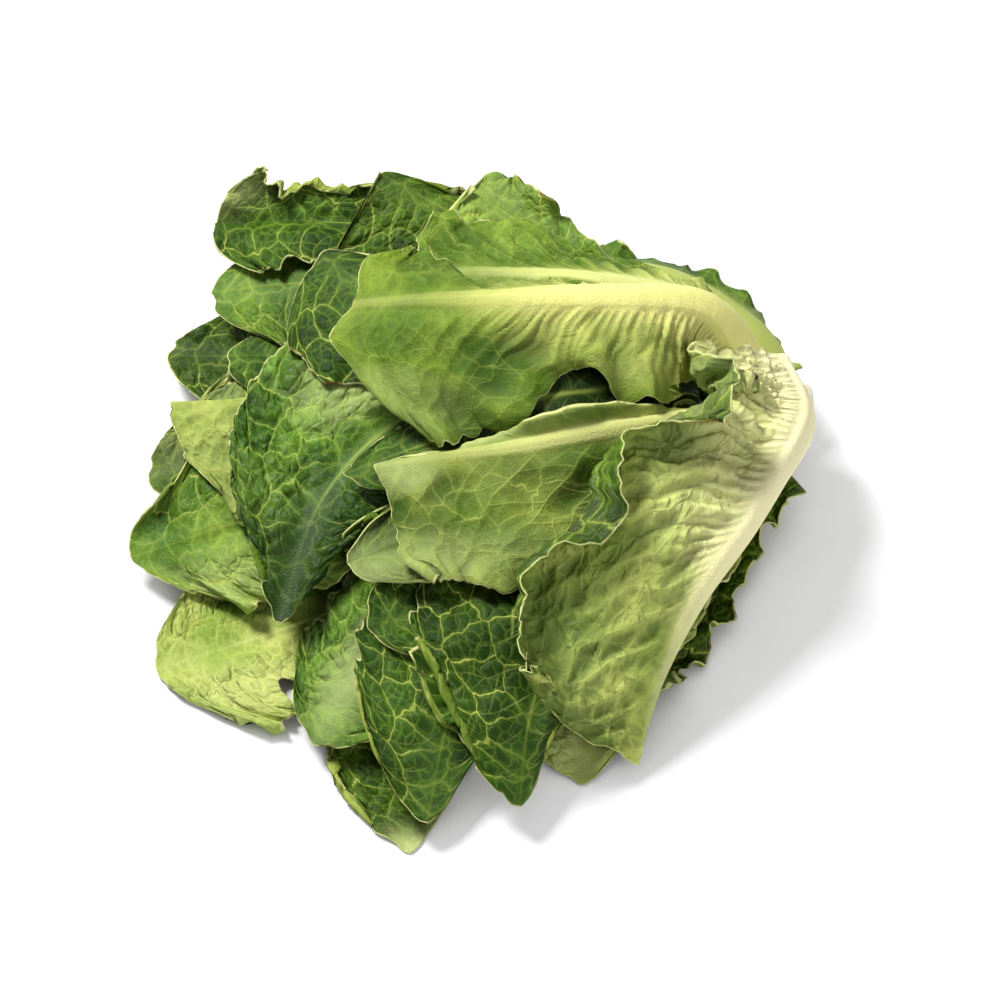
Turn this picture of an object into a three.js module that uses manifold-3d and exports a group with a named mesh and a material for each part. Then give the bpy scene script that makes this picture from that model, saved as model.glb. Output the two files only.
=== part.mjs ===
// A romaine lettuce head lying on its side, in millimetres, with +Z up.
// The cut butt points along +X. The lower leaves fan out over the surface towards -X, and the
// upper leaves arch over them with their backs and thick ribs outwards.
// Every leaf is a thin closed shell about a midrib curve. The leaves are laid one after another,
// from the lowest to the highest, and each settles on the heap of leaves that is already there.

import * as THREE from 'three';
import { mergeVertices } from 'three/addons/utils/BufferGeometryUtils.js';
import Module from 'manifold-3d';

const wasm = await Module();
wasm.setup();

// ---------------------------------------------------------------- driving dimensions

const BLADE = 1.2; // thickness of a leaf blade
const AIR = 0.7; // air between a leaf and the one under it
const GAP = 0.4; // gap cut between two leaves that would still touch
const SLIVER = 0.02; // detail smaller than this is smoothed away after a cut
const ROWS = 11; // stations along a midrib
const SHARES = [0, 0.3, 0.66, 1]; // stations from the rib's edge to the margin

const HEAP_HALF = 200; // half side of the square on which the leaves lie
const HEAP_CELL = 2; // cell of the heap's height map
const HEAP_REACH = 5; // a leaf clears everything this close to each of its points
const SPREAD_PASSES = 3; // how gently a leaf bends over what lifts it
const FREE_FROM = 0.25; // from this share of its length a leaf is free to be lifted

const CORE = { x: 123, y: 16, z: 34, radius: 12, length: 46 }; // the cut stem

const ADAXIAL = 0x3f6b2c; // inner face of a leaf
const ABAXIAL = 0x94a650; // outer face of a leaf
const HEART = 0xc9cf7e; // pale leaves at the centre
const STEM = 0xefe9c4; // cut stem

// A half blade: its width, the angle above the horizontal at which it leaves the rib, at the base
// and at the tip of the leaf, how much it bends on its way to the margin, how far its margin falls
// back behind the tip, and how deep a notch lies between the two, as shares of the leaf's length.
const half = (width, leanBase, leanTip, bend, sweep, notch = 0) => (
  { width, leanBase, leanTip, bend, sweep, notch });

// Leaves from the lowest to the highest. back says which way the outer, ribbed face looks.
// outline is the width at the base, the place of the greatest width and the width at the tip,
// all as shares. rib is its half width and height at the base. frill is its height and waves.
// bite is a narrow stretch of the left half, and flare a wide one of the right half: the place, the
// span and the change of width, as shares.
const LEAVES = [
  {
    name: 'leaf_floor_right', back: 'down', colour: ADAXIAL,
    spine: [[114, 2, 16], [88, -14, 5], [66, -46, 1], [50, -80, 1], [40, -108, 1]],
    left: half(28, 5, 10, 15, 0.12), right: half(26, 0, 0, 0, 0.25),
    outline: [0.45, 0.5, 0.6], rib: [7, 2], frill: [3, 7],
  },
  {
    name: 'leaf_floor_corner', back: 'down', colour: ADAXIAL,
    spine: [[100, 12, 14], [54, -38, 1], [2, -84, 1], [-26, -128, 1], [-34, -166, 1]],
    left: half(12, 0, 0, 0, 0.1), right: half(50, 0, 0, 0, 0.18),
    outline: [0.3, 0.7, 0.55], rib: [7, 2], frill: [2, 4],
  },
  {
    name: 'leaf_floor_left', back: 'down', colour: ADAXIAL,
    spine: [[100, 20, 14], [40, -10, 1], [-35, -44, 1], [-92, -70, 4], [-132, -84, 2]],
    left: half(42, 0, -4, 0, 0.12), right: half(44, 0, 4, 0, 0.12),
    outline: [0.25, 0.78, 0.7], rib: [8, 2], frill: [2, 4],
  },
  {
    name: 'leaf_floor_back', back: 'down', colour: ADAXIAL,
    spine: [[114, 34, 16], [98, 52, 8], [74, 74, 4], [50, 94, 1], [32, 114, 1]],
    left: half(28, 8, 10, 10, 0.25), right: half(14, 10, 20, 20, 0.25),
    outline: [0.45, 0.6, 0.6], rib: [7, 2], frill: [2.5, 5],
  },
  {
    name: 'leaf_floor_back_left', back: 'down', colour: ADAXIAL,
    spine: [[98, 28, 14], [50, 58, 1], [-5, 88, 1], [-65, 108, 3], [-116, 118, 2]],
    left: half(32, 0, 0, 0, 0.2), right: half(30, 0, 10, 0, 0.2),
    outline: [0.3, 0.65, 0.6], rib: [7, 2], frill: [2, 4],
  },
  {
    name: 'leaf_floor_front', back: 'down', colour: ADAXIAL,
    spine: [[108, 2, 20], [84, -34, 10], [56, -76, 9], [38, -112, 6], [30, -136, 1]],
    left: half(14, 0, 0, 0, 0.25), right: half(38, 0, 5, 0, 0.1),
    outline: [0.4, 0.7, 0.75], rib: [6, 1.5], frill: [2, 4],
  },
  {
    name: 'leaf_fan_high', back: 'down', colour: ADAXIAL,
    spine: [[88, 26, 14], [40, 36, 16], [-20, 46, 18], [-85, 58, 18], [-136, 66, 12]],
    left: half(44, 0, 5, 0, 0.15), right: half(38, 0, 5, 0, 0.15),
    outline: [0.3, 0.78, 0.7], rib: [6, 1.5], frill: [2, 4],
  },
  {
    name: 'leaf_fan_mid', back: 'down', colour: ADAXIAL,
    spine: [[86, 18, 16], [35, 14, 18], [-30, 10, 20], [-95, 8, 20], [-140, 4, 10]],
    left: half(38, 0, 5, 0, 0.12), right: half(38, 0, 5, 0, 0.12),
    outline: [0.3, 0.75, 0.7], rib: [6, 1.5], frill: [2.5, 5],
  },
  {
    name: 'leaf_back_shoulder', back: 'up', colour: ABAXIAL,
    spine: [[110, 34, 36], [96, 57, 41], [66, 82, 42], [26, 100, 28], [-10, 116, 12]],
    left: half(44, 25, 10, -20, 0.15), right: half(20, -10, -10, -20, 0.15),
    outline: [0.3, 0.65, 0.7], rib: [9, 4], frill: [2, 4],
  },
  {
    name: 'leaf_fan_blistered', back: 'down', colour: ADAXIAL,
    spine: [[84, 6, 16], [36, -24, 26], [-14, -60, 26], [-50, -94, 20], [-70, -124, 10]],
    left: half(34, 0, 5, 0, 0.1), right: half(34, 0, -5, -10, 0.15),
    outline: [0.3, 0.7, 0.7], rib: [6, 1.5], frill: [2, 4],
  },
  {
    name: 'leaf_fan_low', back: 'down', colour: ADAXIAL,
    spine: [[84, 12, 20], [30, 0, 24], [-40, -16, 26], [-100, -30, 22], [-144, -38, 12]],
    left: half(34, 0, -20, -10, 0.15), right: half(40, 5, 20, 0, 0.12),
    outline: [0.3, 0.75, 0.6], rib: [6, 1.5], frill: [2, 4],
  },
  {
    name: 'leaf_fan_slim', back: 'down', colour: ADAXIAL,
    spine: [[78, 24, 24], [35, 34, 28], [-20, 42, 32], [-70, 48, 32], [-110, 52, 28]],
    left: half(34, 0, -5, 0, 0.1), right: half(24, 0, 5, 0, 0.15),
    outline: [0.35, 0.7, 0.7], rib: [5, 1.5], frill: [1.5, 3],
  },
  {
    name: 'leaf_fan_smooth', back: 'down', colour: ADAXIAL,
    spine: [[78, 28, 30], [35, 50, 34], [-25, 70, 40], [-76, 80, 40], [-118, 84, 30]],
    left: half(34, 0, -15, -20, 0.1), right: half(28, 0, 10, 0, 0.12),
    outline: [0.35, 0.7, 0.75], rib: [5, 1.5], frill: [1, 3],
  },
  {
    name: 'leaf_turned_over', back: 'up', colour: ABAXIAL,
    spine: [[72, 18, 26], [30, 14, 34], [-30, 16, 38], [-85, 18, 40], [-130, 18, 38]],
    left: half(72, -10, -26, -10, 0.12), right: half(14, -60, -100, -40, 0.05),
    outline: [0.25, 0.75, 0.7], rib: [5, 1], frill: [1, 3],
  },
  {
    name: 'leaf_cupped', back: 'down', colour: ADAXIAL,
    spine: [[80, 32, 24], [35, 66, 28], [-20, 92, 32], [-74, 110, 32], [-118, 118, 32]],
    left: half(26, 10, -10, 20, 0.05), right: half(24, 20, 50, 20, 0.02),
    outline: [0.25, 0.85, 0.9], rib: [5, 1.5], frill: [1, 3],
  },
  {
    name: 'leaf_fan_corner', back: 'down', colour: ADAXIAL,
    spine: [[84, 2, 22], [50, -38, 30], [4, -80, 30], [-18, -120, 24], [-27, -160, 12]],
    left: half(26, 0, -5, 0, 0.3), right: half(46, 5, 0, 0, 0.2),
    outline: [0.35, 0.66, 0.6], rib: [5, 1.5], frill: [1, 3],
  },
  {
    name: 'leaf_frill_lower', back: 'down', colour: ADAXIAL,
    spine: [[72, 4, 30], [40, -32, 36], [5, -58, 36], [-24, -76, 32], [-50, -86, 26]],
    left: half(26, 5, 5, 0, 0.15), right: half(30, 5, 10, 10, 0.1),
    outline: [0.45, 0.6, 0.8], rib: [4, 1.5], frill: [4, 4],
  },
  {
    name: 'leaf_fan_front', back: 'down', colour: ADAXIAL,
    spine: [[90, 0, 28], [62, -38, 34], [28, -82, 34], [12, -120, 28], [7, -155, 15]],
    left: half(22, 0, -10, 0, 0.3), right: half(60, 5, 0, 0, 0.25),
    outline: [0.35, 0.55, 0.5], rib: [5, 1.5], frill: [1.5, 3],
  },
  {
    name: 'leaf_front_inner', back: 'up', colour: ABAXIAL,
    spine: [[108, 2, 30], [90, -26, 28], [66, -56, 26], [46, -82, 20], [36, -104, 12]],
    left: half(12, -20, -20, -20, 0.2), right: half(36, 30, 15, -30, 0.2),
    outline: [0.4, 0.6, 0.6], rib: [8, 3], frill: [1, 3],
  },
  {
    name: 'leaf_peak', back: 'down', colour: ADAXIAL,
    spine: [[82, 34, 36], [52, 58, 46], [12, 78, 58], [-22, 96, 67], [-48, 108, 75]],
    left: half(44, -10, -20, -10, -0.12), right: half(14, 0, 0, 0, 0.2),
    outline: [0.4, 0.65, 0.6], rib: [5, 1.5], frill: [1, 3],
  },
  {
    name: 'leaf_ruffled', back: 'down', colour: ADAXIAL,
    spine: [[84, 34, 42], [64, 50, 42], [34, 70, 54], [8, 90, 62], [-12, 104, 66]],
    left: half(28, -10, -10, 0, 0), right: half(16, 0, 10, 0, -0.02),
    outline: [0.1, 0.85, 0.95], rib: [5, 1.5], frill: [3.5, 4],
  },
  {
    name: 'leaf_fan_broad', back: 'down', colour: ADAXIAL,
    spine: [[70, 18, 34], [22, 16, 44], [-34, 6, 46], [-68, -30, 40], [-84, -78, 24]],
    left: half(46, 0, 5, 0, 0.3), right: half(60, 5, 0, 0, 0.18),
    outline: [0.3, 0.55, 0.3], rib: [6, 2], frill: [1, 4],
  },
  {
    name: 'leaf_frill_upper', back: 'down', colour: ADAXIAL,
    spine: [[70, 8, 38], [38, -22, 46], [5, -40, 46], [-28, -54, 42], [-58, -60, 34]],
    left: half(26, 0, -5, 0, 0.15), right: half(22, 0, 5, 0, 0.15),
    outline: [0.45, 0.6, 0.7], rib: [4, 1.5], frill: [3, 4],
  },
  {
    name: 'heart_leaf_low', back: 'down', colour: HEART,
    spine: [[78, 18, 44], [48, 14, 50], [20, 12, 54], [-8, 12, 56]],
    left: half(30, 10, 20, 40, 0.1), right: half(30, 10, 20, 40, 0.1),
    outline: [0.5, 0.6, 0.8], rib: [4, 1.5], frill: [2, 4],
  },
  {
    name: 'heart_leaf_high', back: 'down', colour: HEART,
    spine: [[76, 20, 50], [52, 18, 55], [30, 16, 58], [6, 18, 60]],
    left: half(22, 10, 20, 40, 0.1), right: half(22, 10, 20, 40, 0.1),
    outline: [0.5, 0.6, 0.8], rib: [4, 1.5], frill: [2, 4],
  },
  {
    name: 'leaf_under_tip', back: 'down', colour: ADAXIAL,
    spine: [[66, 30, 54], [30, 38, 64], [-14, 44, 66], [-50, 56, 65], [-72, 76, 62]],
    left: half(42, -10, -20, 0, 0.07), right: half(20, 0, 0, 0, 0.2),
    outline: [0.4, 0.7, 0.7], rib: [4, 1.5], frill: [1, 3],
  },
  {
    name: 'leaf_flap', back: 'down', colour: ADAXIAL,
    spine: [[68, 8, 50], [34, -4, 58], [0, -12, 60], [-32, -20, 58], [-60, -28, 52]],
    left: half(28, -10, -15, 0, 0.15), right: half(18, 0, -10, 0, 0.15),
    outline: [0.4, 0.65, 0.6], rib: [4, 1.5], frill: [1, 3],
  },
  {
    name: 'leaf_middle', back: 'up', colour: ABAXIAL,
    spine: [[98, 8, 52], [80, -6, 62], [50, -18, 68], [10, -28, 68], [-20, -30, 64], [-48, -30, 56]],
    left: half(62, -20, -25, -25, 0), right: half(16, -30, -50, -40, 0.1),
    outline: [0.35, 0.65, 0.88], rib: [6, 4], frill: [1, 3],
  },
  {
    name: 'leaf_crest', back: 'up', colour: ABAXIAL,
    spine: [[98, 34, 54], [76, 42, 72], [38, 46, 80], [0, 50, 80], [-38, 54, 76]],
    left: half(26, 0, -10, -20, 0.1), right: half(40, -10, -10, -30, -0.02),
    outline: [0.12, 0.85, 0.95], rib: [6, 4], frill: [2, 3],
  },
  {
    name: 'leaf_top', back: 'up', colour: ABAXIAL,
    spine: [[102, 26, 58], [80, 32, 84], [42, 26, 95], [2, 24, 95], [-32, 26, 91], [-66, 30, 83]],
    left: half(64, -20, -20, -35, 0.16), right: half(14, -40, 0, -20, 0.02),
    outline: [0.35, 0.75, 0.8], rib: [8, 6], frill: [2, 4], bite: [0.5, 0.12, -0.45], flare: [1, 0.28, 2],
  },
  {
    name: 'leaf_front', back: 'up', colour: ABAXIAL,
    spine: [[115, 30, 41], [122, 5, 42], [115, -17, 43], [98, -50, 46], [76, -81, 40], [60, -108, 24],
      [52, -130, 3]],
    left: half(14, -110, -110, -40, 0.05), right: half(64, 72, 50, -65, 0.03),
    outline: [0.7, 0.78, 0.85], rib: [13, 8], frill: [1, 3],
  },
];

// ---------------------------------------------------------------- small helpers

const mix = (a, b, t) => a + (b - a) * t;
const radians = (degrees) => degrees * Math.PI / 180;

/** Width of a leaf at u along its midrib, as a share of the greatest width. */
function outlineShare([base, peak, tip], u) {
  if (u < peak) return mix(base, 1, Math.sin(Math.PI / 2 * u / peak));
  return mix(1, tip, ((u - peak) / (1 - peak)) ** 2);
}

/** Change of a half's width at u where it has a narrow or a wide stretch. */
function stretchShare(stretch, u) {
  if (!stretch) return 1;
  const [place, span, change] = stretch;
  return 1 + change * Math.exp(-(((u - place) / span) ** 2));
}

// ---------------------------------------------------------------- one leaf

/** Point of the leaf's middle surface. side is 1 right of the midrib and -1 left of it. */
function bladePoint(leaf, curve, u, side, share) {
  const blade = side > 0 ? leaf.right : leaf.left;
  const fallBack = blade.sweep * share * share * u * u + blade.notch * Math.sin(Math.PI * share) * u ** 6;
  const t = Math.max(u * (1 - fallBack), 0);
  const forward = curve.getTangent(t);
  const across = forward.clone().cross(new THREE.Vector3(0, 0, 1)).normalize();
  const up = across.clone().cross(forward).normalize();
  across.multiplyScalar(side);

  const ribHalf = leaf.rib[0] * mix(1, 0.12, u);
  const whole = blade.width * outlineShare(leaf.outline, u);
  const width = Math.max(whole * stretchShare(side < 0 ? leaf.bite : leaf.flare, u), ribHalf + 1);
  const distance = mix(ribHalf, width, share);
  const lean = radians(mix(blade.leanBase, blade.leanTip, u));
  const turn = radians(blade.bend * distance / width);
  const chord = turn === 0 ? distance : distance * Math.sin(turn / 2) / (turn / 2);
  const point = curve.getPoint(t);
  point.addScaledVector(across, chord * Math.cos(lean + turn / 2));
  point.addScaledVector(up, chord * Math.sin(lean + turn / 2));

  const [height, waves] = leaf.frill;
  const wave = height * share * share * Math.sin(2 * Math.PI * waves * u + side);
  point.addScaledVector(across, -wave * Math.sin(lean + turn));
  point.addScaledVector(up, wave * Math.cos(lean + turn));
  return point;
}

/** Rows of points from the base to the tip, each row from the left margin to the right one. */
function bladeGrid(leaf) {
  const curve = new THREE.CatmullRomCurve3(
    leaf.spine.map((point) => new THREE.Vector3(...point)), false, 'catmullrom', 0.5);
  const stations = [
    ...SHARES.map((share) => [-1, share]).reverse(),
    ...SHARES.map((share) => [1, share]),
  ];
  return Array.from({ length: ROWS }, (_, row) => stations.map(
    ([side, share]) => bladePoint(leaf, curve, row / (ROWS - 1), side, share)));
}

/** Thickness of the rib on the back of the leaf, at a row and a column of its grid. */
function ribHeight(leaf, row, column) {
  const onRib = column === SHARES.length - 1 || column === SHARES.length;
  return onRib ? leaf.rib[1] * mix(1, 0.1, row / (ROWS - 1)) : 0;
}

/** Unit normal of the grid that looks upwards where the leaf lies flat. */
function gridNormal(grid, row, column) {
  const last = grid.length - 1;
  const edge = grid[0].length - 1;
  const along = grid[Math.min(row + 1, last)][column].clone()
    .sub(grid[Math.max(row - 1, 0)][column]);
  const across = grid[row][Math.min(column + 1, edge)].clone()
    .sub(grid[row][Math.max(column - 1, 0)]);
  return across.cross(along).normalize();
}

/** The two faces of the leaf, as grids: the upper one and the lower one. */
function faces(leaf, grid) {
  const upper = [];
  const lower = [];
  grid.forEach((points, row) => {
    upper.push([]);
    lower.push([]);
    points.forEach((point, column) => {
      const normal = gridNormal(grid, row, column);
      const rib = ribHeight(leaf, row, column);
      const above = BLADE / 2 + (leaf.back === 'up' ? rib : 0);
      const below = BLADE / 2 + (leaf.back === 'up' ? 0 : rib);
      upper[row].push(point.clone().addScaledVector(normal, above));
      lower[row].push(point.clone().addScaledVector(normal, -below));
    });
  });
  upper.flat().forEach((point) => { point.z = Math.max(point.z, BLADE / 2); });
  lower.flat().forEach((point) => { point.z = Math.max(point.z, 0); });
  return { upper, lower };
}

// ---------------------------------------------------------------- the heap

/** Height map of the leaves that already lie on the surface. */
class Heap {
  constructor() {
    this.side = 2 * HEAP_HALF / HEAP_CELL;
    this.heights = new Float64Array(this.side * this.side).fill(-AIR);
  }

  cell(value) {
    const index = Math.floor((value + HEAP_HALF) / HEAP_CELL);
    return Math.min(Math.max(index, 0), this.side - 1);
  }

  /** Greatest height within HEAP_REACH of a place. */
  heightNear(x, y) {
    let height = -AIR;
    for (let i = this.cell(x - HEAP_REACH); i <= this.cell(x + HEAP_REACH); i += 1) {
      for (let j = this.cell(y - HEAP_REACH); j <= this.cell(y + HEAP_REACH); j += 1) {
        height = Math.max(height, this.heights[i * this.side + j]);
      }
    }
    return height;
  }

  raise(x, y, z) {
    const index = this.cell(x) * this.side + this.cell(y);
    this.heights[index] = Math.max(this.heights[index], z);
  }

  /** Adds a leaf's upper face, sampled between its points about once a cell. */
  add(upper) {
    for (let row = 0; row < upper.length - 1; row += 1) {
      for (let column = 0; column < upper[0].length - 1; column += 1) {
        const [a, b] = [upper[row][column], upper[row][column + 1]];
        const [c, d] = [upper[row + 1][column], upper[row + 1][column + 1]];
        const steps = Math.ceil(Math.max(a.distanceTo(d), b.distanceTo(c)) / HEAP_CELL);
        for (let i = 0; i <= steps; i += 1) {
          for (let j = 0; j <= steps; j += 1) {
            const left = a.clone().lerp(c, i / steps);
            const point = left.lerp(b.clone().lerp(d, i / steps), j / steps);
            this.raise(point.x, point.y, point.z);
          }
        }
      }
    }
  }
}

/** Lifts a leaf's grid off the heap, and lets the lift fade out over its neighbours. */
function settle(leaf, grid, heap) {
  const { lower } = faces(leaf, grid);
  const needed = lower.map((points, row) => points.map((point) => {
    const freedom = Math.min(row / (ROWS - 1) / FREE_FROM, 1);
    return Math.max(0, heap.heightNear(point.x, point.y) + AIR - point.z) * freedom;
  }));
  let lift = needed;
  for (let pass = 0; pass < SPREAD_PASSES; pass += 1) {
    const before = lift;
    lift = before.map((values, row) => values.map((_, column) => {
      const around = [
        before[Math.max(row - 1, 0)][column],
        before[Math.min(row + 1, ROWS - 1)][column],
        values[Math.max(column - 1, 0)],
        values[Math.min(column + 1, values.length - 1)],
      ];
      const mean = around.reduce((sum, value) => sum + value, 0) / around.length;
      return Math.max(needed[row][column], mean);
    }));
  }
  grid.forEach((points, row) => points.forEach((point, column) => {
    point.z += lift[row][column];
  }));
}

// ---------------------------------------------------------------- solids

/** Closed shell through a leaf's two faces and its rim. */
function shellGeometry({ upper, lower }) {
  const rows = upper.length;
  const columns = upper[0].length;
  const positions = [...upper.flat(), ...lower.flat()].flatMap((point) => point.toArray());
  const top = (row, column) => row * columns + column;
  const bottom = (row, column) => rows * columns + top(row, column);
  const index = [];
  const quad = (a, b, c, d) => index.push(a, b, c, a, c, d);
  for (let row = 0; row < rows - 1; row += 1) {
    for (let column = 0; column < columns - 1; column += 1) {
      quad(top(row, column), top(row, column + 1), top(row + 1, column + 1), top(row + 1, column));
      quad(bottom(row, column), bottom(row + 1, column), bottom(row + 1, column + 1),
        bottom(row, column + 1));
    }
    quad(top(row, 0), top(row + 1, 0), bottom(row + 1, 0), bottom(row, 0));
    quad(top(row, columns - 1), bottom(row, columns - 1), bottom(row + 1, columns - 1),
      top(row + 1, columns - 1));
  }
  for (let column = 0; column < columns - 1; column += 1) {
    quad(top(0, column), bottom(0, column), bottom(0, column + 1), top(0, column + 1));
    quad(top(rows - 1, column), top(rows - 1, column + 1), bottom(rows - 1, column + 1),
      bottom(rows - 1, column));
  }
  const geometry = new THREE.BufferGeometry();
  geometry.setAttribute('position', new THREE.Float32BufferAttribute(positions, 3));
  geometry.setIndex(index);
  return geometry;
}

/** The cut stem: a blunt cone along X, flat at the butt. */
function coreGeometry() {
  const { x, y, z, radius, length } = CORE;
  const profile = [
    new THREE.Vector2(0, 0),
    new THREE.Vector2(radius, 0),
    new THREE.Vector2(radius, length * 0.3),
    new THREE.Vector2(radius * 0.5, length * 0.8),
    new THREE.Vector2(0, length),
  ];
  const geometry = new THREE.LatheGeometry(profile, 16);
  geometry.rotateZ(Math.PI / 2);
  geometry.translate(x, y, z);
  return geometry;
}

/** The same closed surface with its shared points merged and its slivers dropped. */
function welded(geometry) {
  const bare = geometry.clone();
  bare.deleteAttribute('normal');
  bare.deleteAttribute('uv');
  const merged = mergeVertices(bare, 1e-4);
  const kept = [];
  for (let i = 0; i < merged.index.count; i += 3) {
    const [a, b, c] = [0, 1, 2].map((corner) => merged.index.getX(i + corner));
    if (a !== b && b !== c && c !== a) kept.push(a, b, c);
  }
  merged.setIndex(kept);
  return merged;
}

/** A welded geometry as a solid that can be cut. */
function toSolid(geometry) {
  return new wasm.Manifold(new wasm.Mesh({
    numProp: 3,
    vertProperties: Float32Array.from(geometry.attributes.position.array),
    triVerts: Uint32Array.from(geometry.index.array),
  }));
}

function toGeometry(solid) {
  const mesh = solid.getMesh();
  const geometry = new THREE.BufferGeometry();
  geometry.setAttribute('position', new THREE.Float32BufferAttribute(mesh.vertProperties, 3));
  geometry.setIndex(Array.from(mesh.triVerts));
  geometry.computeVertexNormals();
  return geometry;
}

/** The same closed geometry, swollen by a distance along its vertex normals. */
function swollen(geometry, distance) {
  const swell = geometry.clone();
  swell.computeVertexNormals();
  const { position, normal } = swell.attributes;
  for (let i = 0; i < position.count; i += 1) {
    position.setXYZ(i,
      position.getX(i) + normal.getX(i) * distance,
      position.getY(i) + normal.getY(i) * distance,
      position.getZ(i) + normal.getZ(i) * distance);
  }
  return swell;
}

/** Largest separate piece of a solid, without slivers. */
function largestPiece(solid) {
  return solid.simplify(SLIVER).decompose().reduce(
    (best, piece) => (piece.volume() > best.volume() ? piece : best));
}

// ---------------------------------------------------------------- the head

const heap = new Heap();
const pieces = LEAVES.map((leaf) => {
  const grid = bladeGrid(leaf);
  settle(leaf, grid, heap);
  const shell = faces(leaf, grid);
  heap.add(shell.upper);
  return { name: leaf.name, colour: leaf.colour, geometry: welded(shellGeometry(shell)) };
});
pieces.push({ name: 'stem_core', colour: STEM, geometry: welded(coreGeometry()) });

// The highest leaves stay whole, and each lower one keeps a gap to those above it.
const head = new THREE.Group();
const placed = [];
[...pieces].reverse().forEach(({ name, colour, geometry }) => {
  const whole = toSolid(geometry);
  const solid = placed.reduce((left, other) => left.subtract(other), whole);
  placed.push(toSolid(swollen(geometry, GAP)).add(whole));
  const material = new THREE.MeshStandardMaterial({ color: colour, roughness: 0.5, metalness: 0 });
  const mesh = new THREE.Mesh(toGeometry(largestPiece(solid)), material);
  mesh.name = name;
  head.add(mesh);
});

// The origin lies on the surface, under the middle of the head.
const middle = new THREE.Box3().setFromObject(head).getCenter(new THREE.Vector3());
head.children.forEach((mesh) => mesh.geometry.translate(-middle.x, -middle.y, 0));

export default head;
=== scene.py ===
"""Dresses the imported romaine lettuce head: veined, blistered leaves round a cut stem.

Every leaf is a sheet about its midrib, laid on the heap of the leaves under it as in the solids,
then given its pleats, ruffled margin and raised ribs. Lengths in the leaf tables are millimetres.
"""

import logging
import math
from collections.abc import Sequence
from dataclasses import dataclass, field
from enum import Enum

import bmesh
import bpy
import numpy as np
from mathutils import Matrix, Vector

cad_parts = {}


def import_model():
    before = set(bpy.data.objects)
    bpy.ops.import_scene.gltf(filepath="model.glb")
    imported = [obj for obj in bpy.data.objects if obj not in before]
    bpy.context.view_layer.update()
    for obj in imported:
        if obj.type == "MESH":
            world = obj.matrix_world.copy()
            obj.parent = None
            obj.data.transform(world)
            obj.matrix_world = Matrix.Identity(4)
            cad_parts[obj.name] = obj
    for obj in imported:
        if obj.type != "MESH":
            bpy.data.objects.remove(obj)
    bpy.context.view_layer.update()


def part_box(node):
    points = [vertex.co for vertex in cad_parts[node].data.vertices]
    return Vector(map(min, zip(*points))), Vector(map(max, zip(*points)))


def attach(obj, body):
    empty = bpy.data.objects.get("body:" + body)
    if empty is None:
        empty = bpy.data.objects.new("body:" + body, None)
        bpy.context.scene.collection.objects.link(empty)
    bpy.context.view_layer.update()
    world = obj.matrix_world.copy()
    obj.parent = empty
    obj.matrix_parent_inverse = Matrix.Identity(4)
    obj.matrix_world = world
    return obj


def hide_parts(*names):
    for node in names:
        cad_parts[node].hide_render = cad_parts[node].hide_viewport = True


log = logging.getLogger("lettuce")

MM = 0.001

# ---------------------------------------------------------------- how the leaves lie

BLADE = 1.2  # thickness of a leaf blade in the solids
AIR = 0.7  # air between a leaf and the one under it
COARSE_ROWS = 11  # stations along a midrib in the solids
COARSE_SHARES = (0.0, 0.3, 0.66, 1.0)  # stations from the rib's edge to the margin in the solids
HEAP_HALF = 200.0  # half side of the square on which the leaves lie
HEAP_CELL = 2.0  # cell of the height map in the solids
HEAP_REACH = 5.0  # a station is lifted over anything this near
SPREAD_PASSES = 3  # how far a lift carries its neighbours with it
FREE_FROM = 0.25  # share of a midrib from which a leaf is free to rise

CORE_END = 123.0  # where the stem is cut, along X in the leaf tables
CORE_MIDDLE = 16.0  # middle of the stem, along Y in the leaf tables

# ---------------------------------------------------------------- what the meshes store

FINE_CELL = 1.5  # cell of the fine height map
PLACE_UNIT = 100.0  # millimetres to one unit of the leaves' own UV map
RELIEF_UNIT = 4.0  # millimetres to one unit of the stored relief


class Face(Enum):
    """Which way the ribbed outer face of a leaf looks."""

    UP = "up"
    DOWN = "down"


# ---------------------------------------------------------------- nodes and finishes


def srgb(colour: str) -> tuple[float, float, float, float]:
    """Turns an sRGB hex colour into linear RGBA.

    Args:
        colour: Six hex digits after a hash.

    Returns:
        Linear red, green, blue and an alpha of 1.
    """
    channels = [int(colour[i:i + 2], 16) / 255 for i in (1, 3, 5)]
    linear = [c / 12.92 if c <= 0.04045 else ((c + 0.055) / 1.055) ** 2.4 for c in channels]
    return (*linear, 1.0)


class Nodes:
    """A node tree under construction."""

    SMOOTH = {"interpolation_type": "SMOOTHSTEP"}  # settings of a soft Map Range

    def __init__(self, owner: bpy.types.Material | bpy.types.World) -> None:
        """Switches on the nodes of a material or a world."""
        owner.use_nodes = True
        self.tree = owner.node_tree

    def add(self, kind: str, inputs: dict, output: int | str = 0,
            **settings: object) -> bpy.types.NodeSocket:
        """Adds a node with its settings and links.

        Args:
            kind: The node's type, without its prefix.
            inputs: Sockets by name or number, each a value, a hex colour or an output to link.
            output: Name or number of the output wanted.
            settings: Attributes of the node itself.

        Returns:
            The output.
        """
        node = self.tree.nodes.new("ShaderNode" + kind)
        for name, value in settings.items():
            setattr(node, name, value)
        self.fill(node, inputs)
        return node.outputs[output]

    def fill(self, node: bpy.types.Node, inputs: dict) -> None:
        """Sets or links a node's inputs.

        Args:
            node: The node.
            inputs: Sockets by name or number, each a value, a hex colour or an output to link.
        """
        for key, value in inputs.items():
            if isinstance(value, bpy.types.NodeSocket):
                self.tree.links.new(value, node.inputs[key])
            else:
                node.inputs[key].default_value = srgb(value) if isinstance(value, str) else value


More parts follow.
